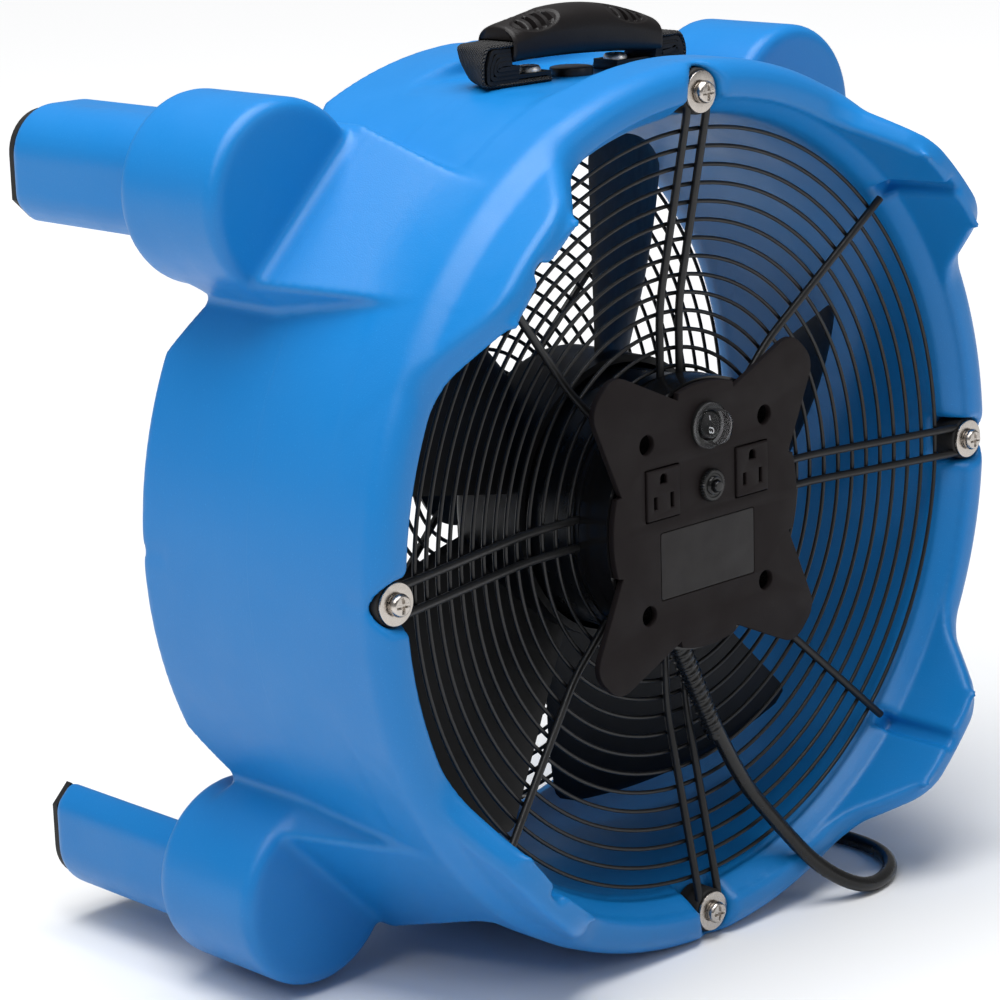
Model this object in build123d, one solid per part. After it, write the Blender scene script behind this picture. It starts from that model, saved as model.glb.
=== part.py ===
"""Axial air mover: a blue rotomoulded drum on four stacking legs, a dished wire guard on each
mouth, a capacitor motor that hangs on the intake guard behind a dark control plate, a
five-bladed fan, a strap handle on top and a mains cord that leaves below the plate.

The frame: +X to the right seen from the intake, +Y along the air flow, +Z up, origin on the
floor under the middle of the machine. Everything is modelled in the fan frame, whose origin
is the middle of the intake plane (x, depth along the flow, height over the fan axis), and is
moved to the floor frame when it is written.
"""
import os
from math import cos, radians, sin, tan

from build123d import *

# ---- driving dimensions, mm ------------------------------------------------------------
AXIS_HEIGHT = 241.0       # fan axis over the floor
INTAKE_Y = -128.0         # the intake plane in the floor frame
DRUM_R = 241.0            # outside of the drum
DUCT_R = 211.0            # inside of the air duct
DRUM_DEPTH = 181.0        # intake rim to outlet rim
CROWN_REACH = 40.0        # how far the four teeth stand out of the intake rim
CROWN_R = 236.0           # outside of the teeth
GROOVE_R = 227.0          # bottom of the notch inside each tooth
LEG_X, LEG_Z = 195.5, 189.5   # leg centre, from the axis
LEG_SIZE = 64.0
LEG_CUT = 12.0            # chamfer of the leg's corners
FOOT_X, FOOT_Z = 201.5, 195.5  # screw that holds each foot
LEG_END = 292.0
FOOT_END = 296.0
BULGE_X, BULGE_Z = 193.5, 185.3   # round shoulder that carries each leg
BULGE_R = 50.5
BULGE_FRONT = 103.0
FLANK_R = 257.0           # flat flank on each diagonal
FLANK_WIDTH = 104.0
FLANK_FRONT_WIDTH = 68.0
SCREW_R = 225.0           # circle of the guard screws
SLOT_HALF = 11.4          # half the width of the rim slots
WIRE_R = 1.15             # ring wire
SPOKE_R = 2.2             # spoke wire
RING_PITCH = 9.9
RING_OUTER = 205.0
WELD = 0.3                # how far welded wires sink into each other
PLATE_FRONT = 0.0
PLATE_THICK = 4.0
BOX_R = 74.0
BOX_BACK = 23.7
MOUNT_FRONT = 28.2        # plate that clamps the spokes from behind
MOUNT_THICK = 3.0
MOTOR_R = 71.0
MOTOR_FRONT = 31.2
MOTOR_BACK = 98.0
SHAFT_R = 7.5
HUB_R = 78.0
HUB_FRONT = 64.0
HUB_BACK = 116.0
FAN_R = 196.0
BLADES = 5
BLADE_LEAD_ANGLE = 97.0   # leading edge of the first blade at rest
HOLE_PITCH = 46.2         # control plate screws, from the axis in x and z
ROCKER_Z = 49.0
ROCKER_TILT = 12.0        # how far the rocker leans either way
BREAKER_X, BREAKER_Z = 2.0, 16.0
OUTLET_X, OUTLET_Z = 35.0, 18.5
HANDLE_DEPTH = 93.0       # handle centre line
SEAT_Z = 228.0            # flat floor of the handle's recess
SEAT_FRONT, SEAT_BACK = 43.0, 136.0
BRACKET_X = 33.0          # strap bracket screws
STRAP_WIDTH = 25.0
STRAP_THICK = 2.4
FOLD_X = 76.0             # where the strap folds back over itself
FOLD_START = 66.0
FOLD_TOP = 248.0
GRIP_END = 56.5
GRIP_TOP = 267.0
CORD_R = 4.3
COIL_R = 47.0             # middle of the coil's turns
COIL_CENTRE = (10.0, 246.0)
TAU = 360.0

os.makedirs("parts", exist_ok=True)


# ---- helpers ---------------------------------------------------------------------------
def rod(radius, front, back, x=0.0, z=0.0):
    """A cylinder along the flow, from one depth to another."""
    return Pos(x, (front + back) / 2, z) * Rot(90, 0, 0) * Cylinder(radius, back - front)


def tube(outer, inner, front, back, x=0.0, z=0.0):
    return rod(outer, front, back, x, z) - rod(inner, front - 1, back + 1, x, z)


def block(x0, x1, front, back, z0, z1):
    return Pos((x0 + x1) / 2, (front + back) / 2, (z0 + z1) / 2) * Box(x1 - x0, back - front, z1 - z0)


def prism(outline, front, back):
    """A flat outline in x and z, extruded along the flow."""
    return extrude(Plane((0, back, 0), x_dir=(1, 0, 0), z_dir=(0, -1, 0)) * outline, back - front)


def quarters(shape, first=0.0):
    """The same shape four times round the axis."""
    return [Rot(0, first + 90 * k, 0) * shape for k in range(4)]


def save(name, *shapes):
    """Write one node, moved from the fan frame to the floor frame."""
    solids = [s for shape in shapes for s in shape.solids()]
    whole = Compound(solids) if len(solids) > 1 else solids[0]
    export_step(Pos(0, INTAKE_Y, AXIS_HEIGHT) * whole, f"parts/{name}.step")


def dish(radius):
    """Depth of the intake guard's rings: a shallow dish with a flat middle."""
    return 29.0 if radius < 110 else 29.0 - 20.0 * (radius - 110) / (RING_OUTER - 110)


def outlet_dome(radius):
    """Depth of the outlet guard's rings: nearly flat, a little proud in the middle."""
    return 181.0 - 7.0 * (radius - 36) / (RING_OUTER - 36)


def wire(path, radius):
    """A round wire along a path."""
    start = path.edges()[0] if isinstance(path, Wire) else path
    section = Plane(start @ 0, z_dir=start % 0) * Circle(radius)
    return sweep(section, path=path)


# ---- housing ---------------------------------------------------------------------------
def corner_quarters(shape):
    """The same shape in all four corners, mirrored, since they are further apart in x than in z."""
    right = [shape, mirror(shape, Plane.XY)]
    return right + [mirror(each, Plane.YZ) for each in right]


def leg_outline(inset=0.0):
    """Upper right leg: round outer corner, two chamfered corners and a slanted inner side."""
    half = LEG_SIZE / 2 - inset
    cut = LEG_CUT - 0.4 * inset
    corners = [(half - cut, -half), (half, -half + cut), (half, half), (-half + cut, half),
               (-half, half - cut)]
    outline = make_face(Polyline(*corners, close=True))
    outer = outline.vertices().sort_by(lambda v: v.X + v.Y)[-1]
    return Pos(LEG_X, LEG_Z) * fillet(outer, 26 - inset)


def crown_tooth():
    """One tooth of the intake rim, built at the top and turned to its diagonal."""
    base, tip, foot = 73.0, 31.0, 20.0
    slope = (base - tip) / CROWN_REACH
    outline = make_face(Polyline((-base - slope * foot, foot), (-tip, -CROWN_REACH), (tip, -CROWN_REACH),
                                 (base + slope * foot, foot), close=True))
    corners = outline.vertices().sort_by(Axis.Y)[:2]
    outline = fillet(corners, 12)
    tooth = extrude(Pos(0, 0, 190) * outline, 60) & rod(CROWN_R, -CROWN_REACH - 5, 30)
    return Rot(0, 45, 0) * tooth


def flank():
    """Flat flank on a diagonal, rising and widening towards the outlet."""
    side = make_face(Polyline((4, 215), (4, 234), (100, FLANK_R), (176, FLANK_R), (181, FLANK_R - 5),
                              (181, 215), close=True))
    half, front = FLANK_WIDTH / 2, FLANK_FRONT_WIDTH / 2
    plan = make_face(Polyline((-front, 4), (front, 4), (half, BULGE_FRONT), (half, 181), (-half, 181),
                              (-half, BULGE_FRONT), close=True))
    slab = extrude(Plane.YZ * side, half, both=True) & extrude(Pos(0, 0, 210) * plan, 60)
    return Rot(0, 45, 0) * slab


def bulge():
    """Round shoulder round the root of a leg."""
    shoulder = rod(BULGE_R, BULGE_FRONT, DRUM_DEPTH, BULGE_X, BULGE_Z)
    rims = shoulder.edges().filter_by(GeomType.CIRCLE)
    return fillet(rims, 7)


def recess():
    """What is cut away above the flat seat for the handle."""
    seat = block(-96, 96, SEAT_FRONT, SEAT_BACK, SEAT_Z, SEAT_Z + 40)
    return fillet(seat.edges().filter_by(Axis.Z), 14)


def rim_slots(front, back):
    """Round-bottomed slots for the guard loops, at the four sides of a rim."""
    slot = rod(SLOT_HALF, front, back, 0, SCREW_R) + block(-SLOT_HALF, SLOT_HALF, front, back, 190, SCREW_R)
    return quarters(slot)


def legs(front, back):
    return corner_quarters(prism(leg_outline(), front, back))


def housing():
    """The moulding from the intake rim to the outlet rim."""
    drum = rod(DRUM_R, 0, DRUM_DEPTH)
    drum = fillet(drum.edges().filter_by(GeomType.CIRCLE), 8)
    body = drum + quarters(flank()) + corner_quarters(bulge()) + legs(DRUM_DEPTH - 20, DRUM_DEPTH)
    cuts = [rod(DUCT_R, -60, 200), recess()] + quarters(groove())
    cuts += rim_slots(-1, 18) + rim_slots(DRUM_DEPTH - 18, DRUM_DEPTH + 1)
    cuts += quarters(rod(2.75, 10, 42, 0, SCREW_R)) + quarters(rod(2.75, 139, 171, 0, SCREW_R))
    cuts += [Pos(x, HANDLE_DEPTH, SEAT_Z - 5) * Cylinder(2.2, 14) for x in (-BRACKET_X, BRACKET_X)]
    cuts += [Pos(0, HANDLE_DEPTH, SEAT_Z - 3) * Cylinder(8, 8)]
    return body - cuts


def groove():
    """Notch that runs down the inside of each tooth."""
    return Rot(0, 45, 0) * block(-6, 6, -CROWN_REACH - 5, 9, 195, GROOVE_R)


def housing_crown():
    """The four teeth, which grow out of the intake rim."""
    front = rod(CROWN_R + 10, -CROWN_REACH - 5, 0)
    return [(tooth & front) - rod(DUCT_R, -60, 10) - cut for tooth, cut in zip(quarters(crown_tooth()),
                                                                            quarters(groove()))]


def housing_legs():
    """The four legs behind the outlet rim."""
    holes = corner_quarters(rod(2.2, LEG_END - 14, LEG_END + 1, FOOT_X, FOOT_Z))
    return [leg - hole for leg, hole in zip(legs(DRUM_DEPTH, LEG_END), holes)]


# ---- guards ----------------------------------------------------------------------------
def guard_rings(depth, innermost):
    radius = RING_OUTER
    rings = []
    while radius > innermost:
        rings.append(Pos(0, depth(radius), 0) * Rot(90, 0, 0) * Torus(radius, WIRE_R))
        radius -= RING_PITCH
    return rings


def double_spoke(side):
    """Two parallel wires joined by a loop round a rim screw; side lists (radius, depth)."""
    half = 7.5
    route = [(-half, y, r) for r, y in side] + [(half, y, r) for r, y in reversed(side)]
    bends = [6] * (len(side) - 2)
    return wire(FilletPolyline(*route, radius=bends + [7.3, 7.3] + bends), SPOKE_R)


def intake_spokes():
    ride = WIRE_R + SPOKE_R - WELD
    slope = (dish(150) - dish(160)) / 10
    flat = dish(100) - ride
    loop = 3.75
    loop_r = 110 + (flat - loop) / slope
    double = double_spoke([(40, flat), (110, flat), (loop_r, loop), (SCREW_R + 7.5, loop)])
    end = 212.0
    route = [(0, flat, 74), (0, flat, 110), (0, flat - slope * (end - 110), end)]
    single = wire(FilletPolyline(*route, radius=8), SPOKE_R)
    return quarters(double) + quarters(single, 45)


def outlet_spokes():
    ride = WIRE_R + SPOKE_R - WELD
    inner, bend, loop = 34.0, 208.0, DRUM_DEPTH - 3.75
    double = double_spoke([(inner, outlet_dome(inner) + ride), (bend, loop), (SCREW_R + 7.5, loop)])
    end = 209.0
    single = wire(Line((0, outlet_dome(inner) + ride, inner), (0, outlet_dome(end) + ride, end)), SPOKE_R)
    return quarters(double) + quarters(single, 45)


def outlet_disc():
    """Small stamped disc that ties the outlet spokes together in the middle."""
    behind = outlet_dome(34) + WIRE_R + 3 * SPOKE_R - 2 * WELD
    return rod(36.5, behind, behind + 1.5)


# ---- control box, plate and what they hold -----------------------------------------------
def plate_outline():
    """A disc with a blunt lobe on each diagonal."""
    corners = [(20, -31), (62, -31), (112, -13), (112, 13), (62, 31), (20, 31)]
    lobe = make_face(Polyline(*corners, close=True))
    lobe = fillet(lobe.vertices().group_by(Axis.X)[-1], 10)
    outline = Circle(72.5)
    for k in range(4):
        outline += Rot(0, 0, 45 + 90 * k) * lobe
    return outline


def plate_corners():
    return [(x, z) for x in (-HOLE_PITCH, HOLE_PITCH) for z in (-HOLE_PITCH, HOLE_PITCH)]


def relief_frame():
    """Where the cord leaves the box: the start, the direction and the length of its relief."""
    start, end = Vector(-13, 12, -70), Vector(17, 12, -130)
    return start, (end - start).normalized(), (end - start).length


def along_relief(shape_from, shape_to, radius, end_radius=None):
    """A round bar or cone on the line of the cord's relief."""
    start, direction, _ = relief_frame()
    length = shape_to - shape_from
    place = Plane(start + direction * (shape_from + length / 2), z_dir=direction)
    if end_radius is None:
        return place * Cylinder(radius, length)
    return place * Cone(radius, end_radius, length)


def control_plate():
    plate = prism(plate_outline(), PLATE_FRONT, PLATE_FRONT + PLATE_THICK)
    holes = [rod(5.5, -1, 5, x, z) for x, z in plate_corners()]
    holes += [rod(10.1, -1, 5, 0, ROCKER_Z), rod(5.1, -1, 5, BREAKER_X, BREAKER_Z)]
    low, high = OUTLET_Z - 13.6, OUTLET_Z + 13.6
    holes += [block(x - 12.6, x + 12.6, -1, 5, low, high) for x in (-OUTLET_X, OUTLET_X)]
    holes += [block(-37, 37, -1, 0.5, -40, -3)]
    return plate - holes


def control_box():
    cup = rod(BOX_R, 4, BOX_BACK) - rod(BOX_R - 2.5, 3, BOX_BACK - 2.5)
    for x, z in plate_corners():
        cup += rod(8, 4, BOX_BACK, x, z)
    cuts = [rod(5.5, 3, 16, x, z) for x, z in plate_corners()]
    cuts += [rod(2.6, 15, BOX_BACK + 1, x, z) for x, z in plate_corners()]
    cuts += [rod(4.2, 18, BOX_BACK + 1, 22, -22), along_relief(-8, 14, 6.6)]
    return cup - cuts


def plate_screws():
    return [rod(4.6, 12.4, 16, x, z) + rod(2.5, 16, 38, x, z) - cross_recess(12, x, z, 3.0)
            for x, z in plate_corners()]


def rocker_bezel():
    cup = rod(10, 0, 18, 0, ROCKER_Z) - rod(8.6, -1, 10.5, 0, ROCKER_Z)
    return tube(12.5, 8.6, -2, 0, 0, ROCKER_Z) + cup


def rocker():
    """Round rocker, stored with its lower side pressed in."""
    ball = Pos(0, 1.5, 0) * Sphere(8.45)
    disc = rod(8.2, -3.4, 5.0) & ball
    pressed = Pos(0, 1.5, 0) * Rot(ROCKER_TILT, 0, 0) * Pos(0, -1.5, 0) * disc
    return Pos(0, 0, ROCKER_Z) * pressed


def rocker_boot():
    """Clear splash cover over the rocker."""
    flange = tube(12.5, 8.9, -4, -2, 0, ROCKER_Z)
    dome = rod(9.9, -10.8, -4, 0, ROCKER_Z) - rod(8.9, -10, -3, 0, ROCKER_Z)
    return flange + dome


def breaker_body():
    body = block(BREAKER_X - 7, BREAKER_X + 7, 4.1, 19, BREAKER_Z - 12, BREAKER_Z + 12)
    neck = rod(5.0, -4.6, 4.5, BREAKER_X, BREAKER_Z)
    return body + neck - rod(3.3, -6, 8, BREAKER_X, BREAKER_Z)


def breaker_nut():
    return tube(8.6, 5.05, -3.2, 0, BREAKER_X, BREAKER_Z)


def reset_button():
    button = rod(3.2, -7.2, 4.5, BREAKER_X, BREAKER_Z)
    return fillet(button.edges().filter_by(GeomType.CIRCLE).sort_by(Axis.Y)[0], 0.8)


def blade_slots(x):
    """Centres and heights of an outlet's two blade slots: hot on the left, neutral on the right."""
    return [(x - 6.35, OUTLET_Z - 4.4, 6.8), (x + 6.35, OUTLET_Z - 4.4, 8.2)]


def outlet(x):
    face = block(x - 12.5, x + 12.5, -1.2, 4.1, OUTLET_Z - 13.5, OUTLET_Z + 13.5)
    back = block(x - 12.5, x + 12.5, 4.1, 18.5, OUTLET_Z - 15.5, OUTLET_Z + 15.5)
    cuts = [rod(2.6, -2, 14, x, OUTLET_Z + 7.5)]
    for slot_x, slot_z, height in blade_slots(x):
        cuts.append(block(slot_x - 0.95, slot_x + 0.95, -2, 14, slot_z - height / 2, slot_z + height / 2))
        cuts.append(block(slot_x - 2.1, slot_x + 2.1, 13, 17.5, slot_z - 5.1, slot_z + 5.1))
    return face + back - cuts


def contact_clip(x, z):
    """Brass clip behind one blade slot."""
    return block(x - 2, x + 2, 13.1, 17.4, z - 5, z + 5) - block(x - 0.9, x + 0.9, 13, 16, z - 5.1, z + 5.1)


def outlet_contacts():
    slots = blade_slots(-OUTLET_X) + blade_slots(OUTLET_X)
    return [contact_clip(x, z) for x, z, _ in slots]


def label_plate():
    return block(-36.5, 36.5, 0.02, 0.5, -39.5, -3.5)


def run_capacitor():
    can = block(-19, 17, 5, 20, -46, -24)
    return fillet(can.edges().filter_by(Axis.Y), 4)


# ---- motor and fan -----------------------------------------------------------------------
def motor_mount():
    plate = rod(70, MOUNT_FRONT, MOUNT_FRONT + MOUNT_THICK)
    holes = [rod(2.6, 28, 32, x, z) for x, z in plate_corners()]
    holes += [rod(12, 28, 32), rod(4.2, 28, 32, 22, -22)]
    return plate - holes


def motor_lead():
    return rod(4, 21, 36.9, 22, -22)


def bell_front():
    bell = rod(MOTOR_R - 2.6, MOTOR_FRONT, 37) + rod(21, 36, 48)
    holes = [rod(17.5, 37, 49), rod(9, 31, 38), rod(4.2, 31, 38, 22, -22)]
    return bell - holes - [rod(2.5, 31, 38.1, x, z) for x, z in plate_corners()]


def bell_rear():
    return rod(MOTOR_R - 2.6, 92, MOTOR_BACK) + rod(21, 81, 93) - rod(17.5, 80, 92) - rod(8.3, 91, 99)


def motor_shell():
    return tube(MOTOR_R, MOTOR_R - 2.5, MOTOR_FRONT, MOTOR_BACK)


def stator_core():
    core = tube(MOTOR_R - 2.6, 42, 52, 78)
    slots = [Rot(0, 15 * k, 0) * block(-2.2, 2.2, 51, 79, 41, 58) for k in range(24)]
    return core - slots


def stator_windings():
    return [tube(60, 44, 43, 51.9), tube(60, 44, 78.1, 88)]


def bearing(front):
    ring = tube(17.5, 14.4, front, front + 11) + tube(10.4, SHAFT_R + 0.05, front, front + 11)
    return ring + tube(14.5, 10.3, front + 0.8, front + 10.2)


def motor_shaft():
    return rod(SHAFT_R, 36.5, 114) + rod(6, 113, 129)


def hex_nut():
    return prism(RegularPolygon(10.5, 6), HUB_BACK + 1.5, HUB_BACK + 9) - rod(6, 100, 130)


def impeller_hub():
    shell = rod(HUB_R, HUB_FRONT, HUB_BACK)
    shell = fillet(shell.edges().filter_by(GeomType.CIRCLE).sort_by(Axis.Y)[-1], 7)
    cup = shell - rod(HUB_R - 4, HUB_FRONT - 1, HUB_BACK - 4) + rod(17, 101, HUB_BACK)
    ribs = [Rot(0, TAU / 10 * k, 0) * block(-1.3, 1.3, 104, HUB_BACK - 3, 16, HUB_R - 3) for k in range(10)]
    cup += ribs
    return cup - rod(SHAFT_R, 90, 114.05) - rod(6, 110, 130)


def blade_point(radius, along):
    """A point of a blade's middle surface; along runs from the leading to the trailing edge."""
    inward = (FAN_R - radius) / (FAN_R - HUB_R)
    lead, trail = 60 + 12 * inward, 130 - 18 * inward
    angle = radians(BLADE_LEAD_ANGLE - (40 + 10 * inward) * along)
    depth = lead + (trail - lead) * along * (0.78 + 0.22 * along)
    return Vector(radius * cos(angle), depth, radius * sin(angle))


def fan_blades():
    radii = [HUB_R - 1 + (FAN_R - HUB_R + 1) * i / 5 for i in range(6)]
    grid = [[blade_point(r, j / 7) for j in range(8)] for r in radii]
    blade = thicken(Face.make_surface_from_array_of_points(grid), 1.4, both=True)
    return [Rot(0, TAU / BLADES * k, 0) * blade for k in range(BLADES)]


# ---- handle ------------------------------------------------------------------------------
def bracket(side):
    """Moulded clamp with a round inner end, holding the strap down."""
    half = STRAP_WIDTH / 2
    inner, outer = 19.0, 57.0
    outline = Pos((inner + half + outer) / 2, 0) * Rectangle(outer - inner - half, 2 * half)
    outline += Pos(inner + half, 0) * Circle(half)
    height = 5.5
    clamp = extrude(outline, height) - Pos(BRACKET_X, 0, 0) * Cylinder(2.7, 20)
    tunnel = Pos((outer + 26) / 2, 0, 0) * Box(outer - 25, 30, 2 * STRAP_THICK + 0.6)
    clamp -= tunnel
    return Pos(0, HANDLE_DEPTH, SEAT_Z) * (clamp if side > 0 else mirror(clamp, Plane.YZ))


def strap_end(side):
    """The strap's flat tail under its clamp, out to the fold."""
    length = FOLD_START - 28
    tail = Pos(28 + length / 2, 0, STRAP_THICK / 2) * Box(length, STRAP_WIDTH - 1, STRAP_THICK)
    tail -= Pos(BRACKET_X, 0, 0) * Cylinder(2.7, 20)
    return Pos(0, HANDLE_DEPTH, SEAT_Z + 0.1) * (tail if side > 0 else mirror(tail, Plane.YZ))


def bracket_screws():
    screws = []
    for x in (-BRACKET_X, BRACKET_X):
        head = Pos(x, HANDLE_DEPTH, SEAT_Z + 6.9) * Cylinder(5.2, 2.8)
        head = fillet(head.edges().filter_by(GeomType.CIRCLE).sort_by(Axis.Z)[-1], 1.6)
        shank = Pos(x, HANDLE_DEPTH, SEAT_Z - 2.25) * Cylinder(2.4, 15.5)
        screws.append(head + shank)
    return screws


def vent_plug():
    cap = Pos(0, HANDLE_DEPTH + 1, SEAT_Z + 2.1) * Cylinder(16, 4)
    cap = fillet(cap.edges().filter_by(GeomType.CIRCLE).sort_by(Axis.Z)[-1], 1)
    return cap + Pos(0, HANDLE_DEPTH, SEAT_Z - 3) * Cylinder(7.9, 7)


def band(path):
    """A run of the strap: its flat section along a path in x and z."""
    section = Plane(path @ 0, x_dir=(0, 1, 0), z_dir=path % 0) * Rectangle(STRAP_WIDTH, STRAP_THICK)
    return sweep(section, path=path)


def strap_folds():
    """The two folds, which twist as the grip is pushed over."""
    low = SEAT_Z + 0.1 + STRAP_THICK / 2
    middle = (low + FOLD_TOP) / 2
    return [band(ThreePointArc((side * (FOLD_START + 0.4), HANDLE_DEPTH, low),
                               (side * (FOLD_X - STRAP_THICK / 2), HANDLE_DEPTH, middle),
                               (side * FOLD_START, HANDLE_DEPTH, FOLD_TOP))) for side in (-1, 1)]


def handle_strap():
    """The stretch of the strap that runs through the grip."""
    arch = ThreePointArc((-FOLD_START + 0.4, HANDLE_DEPTH, FOLD_TOP), (0, HANDLE_DEPTH, FOLD_TOP + 6),
                         (FOLD_START - 0.4, HANDLE_DEPTH, FOLD_TOP))
    return band(arch)


def handle_grip():
    """Arched soft grip moulded round the strap."""
    end_low, end_high, middle_low = 237.5, 256.0, 239.5
    outline = make_face(Wire([
        ThreePointArc((-GRIP_END, end_low), (0, middle_low), (GRIP_END, end_low)),
        Line((GRIP_END, end_low), (GRIP_END - 2, end_high)),
        ThreePointArc((GRIP_END - 2, end_high), (0, GRIP_TOP), (-GRIP_END + 2, end_high)),
        Line((-GRIP_END + 2, end_high), (-GRIP_END, end_low))]))
    width = STRAP_WIDTH + 4
    grip = prism(outline, HANDLE_DEPTH - width / 2, HANDLE_DEPTH + width / 2)
    upper = grip.faces().sort_by(Axis.Z)[-1]
    grip = fillet(upper.edges().filter_by(lambda e: e.geom_type == GeomType.CIRCLE), 8)
    return grip - handle_strap()


# ---- fasteners, isolators and feet ---------------------------------------------------------
def cross_recess(front, x=0.0, z=0.0, reach=2.6):
    """The cross cut into a screw's head."""
    return [block(x - reach, x + reach, front, front + 1.6, z - 0.55, z + 0.55),
            block(x - 0.55, x + 0.55, front, front + 1.6, z - reach, z + reach)]


def guard_screw():
    head = rod(6, -5, -1.4, 0, SCREW_R)
    head = fillet(head.edges().filter_by(GeomType.CIRCLE).sort_by(Axis.Y)[0], 2.4)
    return head + rod(3, -1.4, 40, 0, SCREW_R) - cross_recess(-5.1, 0, SCREW_R)


def guard_washers():
    """A flat washer and a spring washer."""
    flat = tube(11, 3.1, 0.05, 1.5, 0, SCREW_R)
    spring = tube(5.4, 3.1, -1.35, 0, 0, SCREW_R) - block(0, 1, -2, 0.04, SCREW_R, SCREW_R + 8)
    return flat, spring


def isolator():
    return tube(9.8, 3.1, 6.05, 17.9, 0, SCREW_R)


def at_outlet(shapes):
    """The same pieces on the outlet rim."""
    return [Pos(0, DRUM_DEPTH, 0) * mirror(shape, Plane.XZ) for shape in shapes]


def foot():
    pad = prism(leg_outline(3), LEG_END, FOOT_END)
    return pad - rod(2.3, LEG_END - 1, FOOT_END + 1, FOOT_X, FOOT_Z) \
        - rod(4.8, FOOT_END - 2.4, FOOT_END + 1, FOOT_X, FOOT_Z)


def foot_screw():
    head = rod(4.2, FOOT_END - 2.4, FOOT_END - 0.4, FOOT_X, FOOT_Z)
    return head + rod(2.2, LEG_END - 13, FOOT_END - 2.4, FOOT_X, FOOT_Z)


# ---- cord ----------------------------------------------------------------------------------
FLOOR_Z = -AXIS_HEIGHT + CORD_R


def cord_route():
    """The cord from inside the box, over the lower rim, back under the drum to the coil."""
    start, direction, length = relief_frame()
    first = start - direction * 8
    below = start + direction * (length + 22)
    return [first, below, Vector(54, 0, -189), Vector(76, -12, -219), Vector(104, -23, FLOOR_Z),
            Vector(138, -15, FLOOR_Z), Vector(160, 12, FLOOR_Z), Vector(162, 50, FLOOR_Z),
            Vector(147, 92, FLOOR_Z), Vector(131, 135, FLOOR_Z), Vector(112, 180, FLOOR_Z),
            Vector(87, 228, FLOOR_Z), Vector(56.9, 275.9, FLOOR_Z)]


def tail_route():
    """From the top turn of the coil to the plug."""
    top = -AXIS_HEIGHT + 5 * CORD_R
    return [Vector(10, 293, top), Vector(-10, 293.5, top - 0.5), Vector(-30, 292.5, -226.5),
            Vector(-50, 292, -228)]


def cord_tube(points):
    """A round cord whose bends are as large as its runs allow."""
    radii = []
    for before, corner, after in zip(points, points[1:], points[2:]):
        run_in, run_out = corner - before, after - corner
        turn = radians(run_in.get_angle(run_out))
        radii.append(0.45 * min(run_in.length, run_out.length) / tan(turn / 2))
    return wire(FilletPolyline(*points, radius=radii), CORD_R)


def cord_relief():
    _, _, length = relief_frame()
    sleeve = along_relief(-3, length, 6.5, 5.3)
    return sleeve - along_relief(-9, length + 5, CORD_R + 0.02)


def cord_coil():
    ring = Cylinder(COIL_R + 3.07 * CORD_R, 6.1 * CORD_R) - Cylinder(COIL_R - 3.07 * CORD_R, 60)
    return Pos(COIL_CENTRE[0], COIL_CENTRE[1], -AXIS_HEIGHT + 3.05 * CORD_R) * ring


def along_plug(near, far, radius, far_radius=None):
    """A round bar or cone on the plug's axis, which points along -X."""
    place = Pos(-50 - (near + far) / 2, 292, -228) * Rot(0, -90, 0)
    if far_radius is None:
        return place * Cylinder(radius, far - near)
    return place * Cone(radius, far_radius, far - near)


def plug_body():
    body = along_plug(0, 14, 5.2, 8.5) + along_plug(14, 20, 8.5, 12.8) + along_plug(20, 44, 12.8)
    rim = body.edges().filter_by(GeomType.CIRCLE).sort_by(Axis.X)[0]
    return fillet(rim, 2)


def plug_blades():
    face = -50 - 44
    blades = [block(face - 17, face, d - 0.8, d + 0.8, -233.6, -227.2) for d in (285.65, 298.35)]
    pin = Pos(face - 9.5, 292, -220.5) * Rot(0, 90, 0) * Cylinder(2.4, 19)
    return blades + [pin]


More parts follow.
